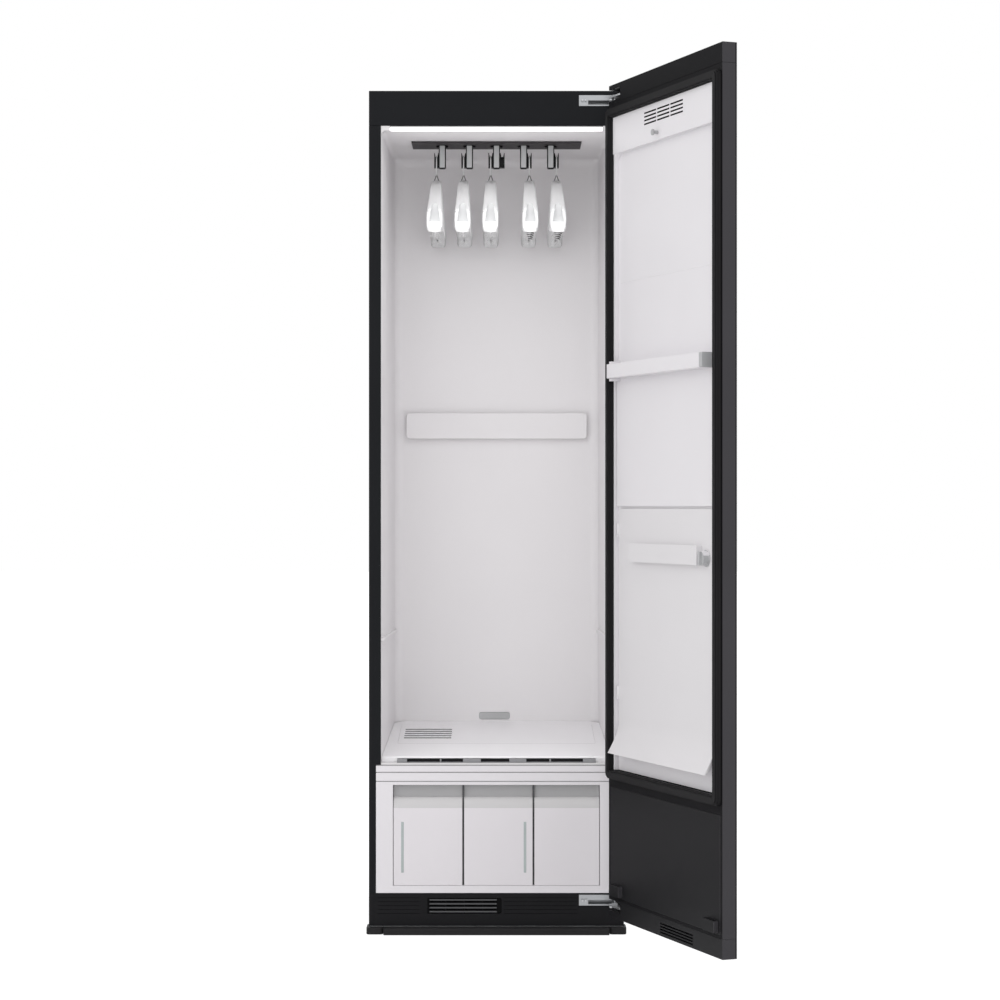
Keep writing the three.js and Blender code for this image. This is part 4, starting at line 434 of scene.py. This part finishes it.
# Hooks: black moulded bars with a grey inlay down the front and round the nose, each on a black
# turntable whose rim shows under the rail.
hook_black = surface("hook_black", (0.0045, 0.0045, 0.005), 0.42, 0.0009, 0.08, 0.08, specular=0.12)
hook_grey = surface("hook_grey", (0.40, 0.405, 0.41), 0.4, 0.0012, 0.06, 0.06, specular=0.3)
hook_numbers, hook_pitch, hook_line, inlay_half = range(1, 6), 0.0654, 0.227, 0.0062
inlay_front, inlay_back, inlay_low, rail_under = 0.2112, 0.2128, 1.8102, 1.8632
for number in hook_numbers:
    eased(f"hook_{number}", f"hook_bar_{number}", f"turning_hook_{number}", 0.0019, hook_black,
          3)
    centre_x = (number - 3) * hook_pitch
    slab(f"hook_inlay_{number}", (centre_x - inlay_half, inlay_front, inlay_low),
         (centre_x + inlay_half, inlay_back, rail_under), 0.0007, hook_grey,
         f"turning_hook_{number}", 3)
    rim = placed_disc(f"turntable_rim_{number}", (centre_x, hook_line, 1.8613), 0.0146, 0.0036, (0, 0, 1), 48)
    bevel(rim, 0.0014, 3)
    rim.data.materials.append(hook_black)
    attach(rim, f"turning_hook_{number}")

# Hangers: white glossy mouldings on a bent wire, scooped at the front end. A clear rod for trousers
# joins the two ends underneath, and each hanger rests on its own hook.
hanger_gloss = surface("hanger_gloss", (0.81, 0.81, 0.815), 0.32, 0.0024, 0.02, 0.01, specular=0.5)
rear_tip_shade_grey = surface("rear_tip_shade_grey", (0.56, 0.56, 0.565), 0.4, 0.0024, 0.02, 0.02, specular=0.2)
scoop_shade_white = surface("scoop_shade_white", (0.66, 0.665, 0.67), 0.4, 0.0024, 0.02, 0.01, specular=0.3)
pale_wire = surface("pale_wire", (0.52, 0.52, 0.525), 0.3, 0.0008, 0.03, 0.03, specular=0.6)
fork_wire = surface("fork_wire", (0.10, 0.10, 0.10), 0.35, 0.0008, 0.03, 0.05, specular=0.5)
clear_plastic = surface("clear_plastic", (0.75, 0.75, 0.755), 0.2, 0.0015, 0.02, 0.02, specular=0.4)
shader_of(clear_plastic).inputs["Alpha"].default_value = 0.12
hub_aside, fork_low, fork_high = 0.014, 1.7812, 1.7915
for number in hook_numbers:
    shape = eased(f"hanger_{number}", f"hanger_shape_{number}", f"hanging_{number}", 0.0008, hanger_gloss,
                  3, 58)
    inlaid(shape, pale_wire, lambda middle, normal: middle.z > fork_high)
    inlaid(shape, fork_wire, lambda middle, normal: fork_low < middle.z <= fork_high)
    inlaid(shape, clear_plastic, lambda middle, normal: (
        middle.z < 1.6468 and abs(middle.y - hook_line) < 0.125))
    # The underside of each hanger's rear tip takes grey: painted shade, so the tip sinks into the wall
    # behind.
    inlaid(shape, rear_tip_shade_grey, lambda middle, normal: middle.z < 1.668 and middle.y > 0.36)
    hub_x = (number - 3) * hook_pitch + (hub_aside if number > 3 else -hub_aside)
    # The scoop's front faces take a darker white: painted shade in the scoop.
    inlaid(shape, scoop_shade_white, lambda middle, normal: (
        abs(middle.x - hub_x) < 0.009 and 1.662 < middle.z < 1.703 and middle.y < 0.0775
        and normal.y < -0.55 and abs(normal.x) < 0.2))

# Wire cones: two of the hangers carry a small conical coil of dark wire under their front end, wide
# at the top and narrowing downwards.
spring_wire = surface("spring_wire", (0.07, 0.07, 0.072), 0.35, 0.0008, 0.05, 0.05, metallic=0.5)
cone_steps, cone_turns, cone_line = 107, 6, 0.062
cone_wide, cone_taper, cone_top, cone_drop = 0.0125, 0.0085, 1.6480, 0.0270
for number in (4, 5):
    hub_x = (number - 3) * hook_pitch + hub_aside
    path = bpy.data.curves.new(f"wire_cone_{number}", "CURVE")
    path.dimensions = "3D"
    path.bevel_depth = 0.0008
    path.bevel_resolution = 2
    line = path.splines.new("POLY")
    line.points.add(cone_steps)
    for i, point in enumerate(line.points):
        share = i / cone_steps
        radius = cone_wide - cone_taper * share
        angle = share * cone_turns * 2 * math.pi
        point.co = (hub_x + radius * math.cos(angle), cone_line + radius * math.sin(angle),
                    cone_top - cone_drop * share, 1)
    cone = bpy.data.objects.new(f"wire_cone_{number}", path)
    bpy.context.scene.collection.objects.link(cone)
    select_only(cone)
    bpy.ops.object.convert(target="MESH")
    cone = bpy.context.object
    smooth(cone)
    cone.data.materials.append(spring_wire)
    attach(cone, f"hanging_{number}")

# Machinery, hidden behind and above the cavity: an enamelled compressor, an aluminium heat exchanger
# and steam generator, a fan in a plastic housing, and the control box.
black_enamel = surface("black_enamel", (0.012, 0.012, 0.014), 0.3, 0.002, 0.05, 0.08)
cast_aluminium = surface("cast_aluminium", (0.6, 0.61, 0.62), 0.42, 0.0015, 0.15, 0.08, metallic=0.9)
board_finish = surface("board_housing", (0.06, 0.075, 0.07), 0.5, 0.0015, 0.08, 0.06)
dress("compressor", black_enamel)
dress("heat_exchanger", cast_aluminium)
dress("steam_generator", cast_aluminium)
dress("fan_housing", black_plastic)
dress("fan_impeller", black_plastic)
dress("control_box", board_finish)

# Hinges: pressed and plated steel. A housing let into the cabinet behind a screwed plate carries an
# arm, the arm carries a link, and the link ends in a black cup in the door.
hinge_plating = surface("hinge_plating", (0.40, 0.41, 0.425), 0.34, 0.0018, 0.03, 0.06, metallic=0.85)
link_steel = surface("link_steel", (0.55, 0.56, 0.575), 0.3, 0.0018, 0.03, 0.06, metallic=0.7)
cup_black = surface("cup_black", (0.012, 0.012, 0.0125), 0.4, 0.0018, 0.03, 0.06, specular=0.2)
plate_face, screw_heights = -0.0080, {"top": 1.937, "bottom": 0.078}
for level in ("top", "bottom"):
    eased(f"hinge_body_{level}", f"hinge_housing_{level}", "cabinet", 0.0004, hinge_plating)
    for x in (0.200, 0.208):
        screw(f"hinge_screw_{level}_{round(x * 1000)}", (x, plate_face, screw_heights[level]), 0.0024,
              (0, -1, 0), link_steel, "cabinet")
    eased(f"hinge_arm_{level}", f"hinge_inner_link_{level}", f"{level}_arm", 0.0004, link_steel)
    eased(f"hinge_link_{level}", f"hinge_outer_link_{level}", f"{level}_link", 0.0004, link_steel)
    eased(f"hinge_cup_{level}", f"hinge_pocket_{level}", "door", 0.0003, cup_black)

# Door: a dark glass front in a black plastic frame with a cap at each end, a soft seal and a white
# liner with its vents and peg. The free edge, away from the hinges, is a lighter charcoal, which on
# the lower panel's edge bevel is a painted highlight line.
door_glass = surface("door_glass", (0.010, 0.010, 0.0115), 0.14, 0.01, 0.0, 0.03, wear=0.02, specular=0.2)
door_edge_tone_and_highlight = surface("door_edge_tone_and_highlight", (0.046, 0.044, 0.049), 0.42, 0.0014, 0.08, 0.05, specular=0.15)
# A darker copy of the black plastic for the frame and the upper cap: painted shade, for the black line
# between frame and edge and the upper cap's darker tone.
shaded_door_black = surface(
    "shaded_door_black", (0.0075, 0.0073, 0.0085), 0.55, 0.0014, 0.08, 0.05, specular=0.05)
free_edge = Vector((0.3551, -0.9348, 0))
eased("door_outer_panel", "door_front", "door", 0.0006, door_glass)
door_surround = eased("door_frame", "door_surround", "door", 0.0008, shaded_door_black)
upper_cap = eased("door_top_cap", "door_cap_upper", "door", 0.0008, shaded_door_black)
lower_cap = eased("door_bottom_cap", "door_cap_lower", "door", 0.0006, black_plastic)
kick_panel = eased("door_lower_panel", "door_kick_panel", "door", 0.0011, black_plastic)
# Faces turned to the free edge take the lighter charcoal: the edge's own tone, and a painted highlight along
# the lower panel's edge bevel.
for piece in (door_surround, upper_cap, lower_cap, kick_panel):
    inlaid(piece, door_edge_tone_and_highlight, lambda middle, normal: normal.dot(free_edge) > 0.35)
eased("door_gasket", "door_seal", "door", 0.0018, rubber, 3)
door_moulding = surface("door_moulding", (0.79, 0.772, 0.795), 0.4, 0.002, 0.03, 0.012, specular=0.35)
door_tray = eased("door_liner", "door_tray", "door", 0.001, door_moulding, 2)

door_axis, door_open = Vector((0.295, -0.052, 0)), math.radians(110.8)
door_turn = (
    Matrix.Translation(door_axis) @ Matrix.Rotation(door_open, 4, "Z") @ Matrix.Translation(-door_axis)
)
vent_shade_dark = surface("vent_shade_dark", (0.022, 0.020, 0.020), 0.6, 0.0014, 0.05, 0.05, specular=0.05)
peg_grey = surface("peg_grey", (0.40, 0.40, 0.41), 0.45, 0.0014, 0.05, 0.05, specular=0.3)
door_shut = door_turn.inverted()
# The vents' sunk faces take near-black: painted shade inside the vent slots.
inlaid(door_tray, vent_shade_dark, lambda middle, normal: (
    middle.z > 1.8402 and (door_shut @ middle).y < -0.0132 and abs((door_shut @ middle).x + 0.005) < 0.106))
inlaid(door_tray, peg_grey, lambda middle, normal: (
    1.8 < middle.z < 1.83 and (door_shut @ middle).y > -0.0120
    and abs((door_shut @ middle).x - 0.022) < 0.009))

# Trouser press: a fixed panel, a thin plate that flares at its foot, a hem clamp and a latch knob.
eased("press_back_panel", "press_panel", "door", 0.0006, door_moulding)
eased("hem_clamp_bar", "hem_bar", "hem_clamp", 0.001, door_moulding)
# A grey for the hem bar's end cap and the knob: painted shade on the bar's end face and the knob's lower
# side.
clamp_shade_grey = surface("clamp_shade_grey", (0.47, 0.475, 0.485), 0.35, 0.001, 0.05, 0.05, metallic=0.1)
eased("hem_clamp_cap", "hem_bar_end", "hem_clamp", 0.001, clamp_shade_grey, 3)
leaf_white = surface("leaf_white", (0.745, 0.73, 0.745), 0.4, 0.002, 0.03, 0.012, specular=0.35)
eased("press_plate", "press_leaf", "plate", 0.0006, leaf_white)
knob = eased("press_knob", "latch_knob", "knob", 0.0006, clamp_shade_grey, 3)
# Only the knob's upper faces keep the white moulding; the grey below is painted shade.
inlaid(knob, door_moulding, lambda middle, normal: middle.z > 0.8875)

# Studio: a white floor and background, with soft lamps in front. Camera, mirror and glass rays see
# the white, and the object is lit at a plain level.


def seen_by_eye(tree):
    """Is 1 for camera, mirror and glass rays."""
    path = tree.nodes.new("ShaderNodeLightPath")
    either = tree.nodes.new("ShaderNodeMath")
    either.operation = "MAXIMUM"
    any_of = tree.nodes.new("ShaderNodeMath")
    any_of.operation = "MAXIMUM"
    tree.links.new(path.outputs["Is Camera Ray"], either.inputs[0])
    tree.links.new(path.outputs["Is Glossy Ray"], either.inputs[1])
    tree.links.new(either.outputs[0], any_of.inputs[0])
    tree.links.new(path.outputs["Is Transmission Ray"], any_of.inputs[1])
    return any_of.outputs[0]


bpy.ops.object.select_all(action="DESELECT")
bpy.ops.mesh.primitive_plane_add(size=60, location=(0, 2, -0.0005))
floor = bpy.context.object
floor.name = "studio_floor"
bpy.ops.object.transform_apply(location=True, rotation=True, scale=True)
floor_finish = bpy.data.materials.new("studio_floor")
floor_finish.use_nodes = True
floor_tree = floor_finish.node_tree
floor_shader = shader_of(floor_finish)
floor_shader.inputs["Base Color"].default_value = (0.85, 0.85, 0.85, 1)
floor_shader.inputs["Roughness"].default_value = 0.95
floor_glow = floor_tree.nodes.new("ShaderNodeEmission")
floor_glow.inputs["Strength"].default_value = 1.35
floor_share = floor_tree.nodes.new("ShaderNodeMixShader")
floor_seen = seen_by_eye(floor_tree)
floor_part = floor_tree.nodes.new("ShaderNodeMath")
floor_part.operation = "MULTIPLY"
floor_part.inputs[1].default_value = 0.64
floor_tree.links.new(floor_seen, floor_part.inputs[0])
floor_tree.links.new(floor_part.outputs[0], floor_share.inputs["Fac"])
floor_tree.links.new(floor_shader.outputs["BSDF"], floor_share.inputs[1])
floor_tree.links.new(floor_glow.outputs["Emission"], floor_share.inputs[2])
floor_tree.links.new(floor_share.outputs["Shader"], floor_tree.nodes["Material Output"].inputs["Surface"])
floor.data.materials.append(floor_finish)

world = bpy.data.worlds.new("studio")
bpy.context.scene.world = world
world.use_nodes = True
world_tree = world.node_tree
seen = world_tree.nodes.new("ShaderNodeBackground")
seen.inputs["Color"].default_value = (1, 1, 1, 1)
seen.inputs["Strength"].default_value = 1.0
ambient = world_tree.nodes["Background"]
ambient.inputs["Color"].default_value = (1, 1, 1, 1)
ambient.inputs["Strength"].default_value = 1.07
choose = world_tree.nodes.new("ShaderNodeMixShader")
world_tree.links.new(seen_by_eye(world_tree), choose.inputs["Fac"])
world_tree.links.new(ambient.outputs["Background"], choose.inputs[1])
world_tree.links.new(seen.outputs["Background"], choose.inputs[2])
world_tree.links.new(choose.outputs["Shader"], world_tree.nodes["World Output"].inputs["Surface"])


def softbox(name, place, target, width, height, power):
    """A rectangular lamp at a place, facing a target."""
    data = bpy.data.lights.new(name, "AREA")
    data.shape = "RECTANGLE"
    data.size = width
    data.size_y = height
    data.energy = power
    lamp = bpy.data.objects.new(name, data)
    bpy.context.scene.collection.objects.link(lamp)
    lamp.location = place
    lamp.rotation_euler = (Vector(target) - Vector(place)).to_track_quat("-Z", "Y").to_euler()


softbox("front_softbox", (-1.0, -4.6, 3.0), (0, 0.2, 0.9), 3.8, 2.6, 16)
softbox("cavity_softbox", (0, -0.002, 1.13), (0, 1.0, 1.13), 0.49, 1.44, 0.81)
softbox("upper_softbox", (0, -0.001, 1.62), (0, 1.0, 1.62), 0.47, 0.46, 0.19)
bpy.context.scene.view_settings.view_transform = "Standard"
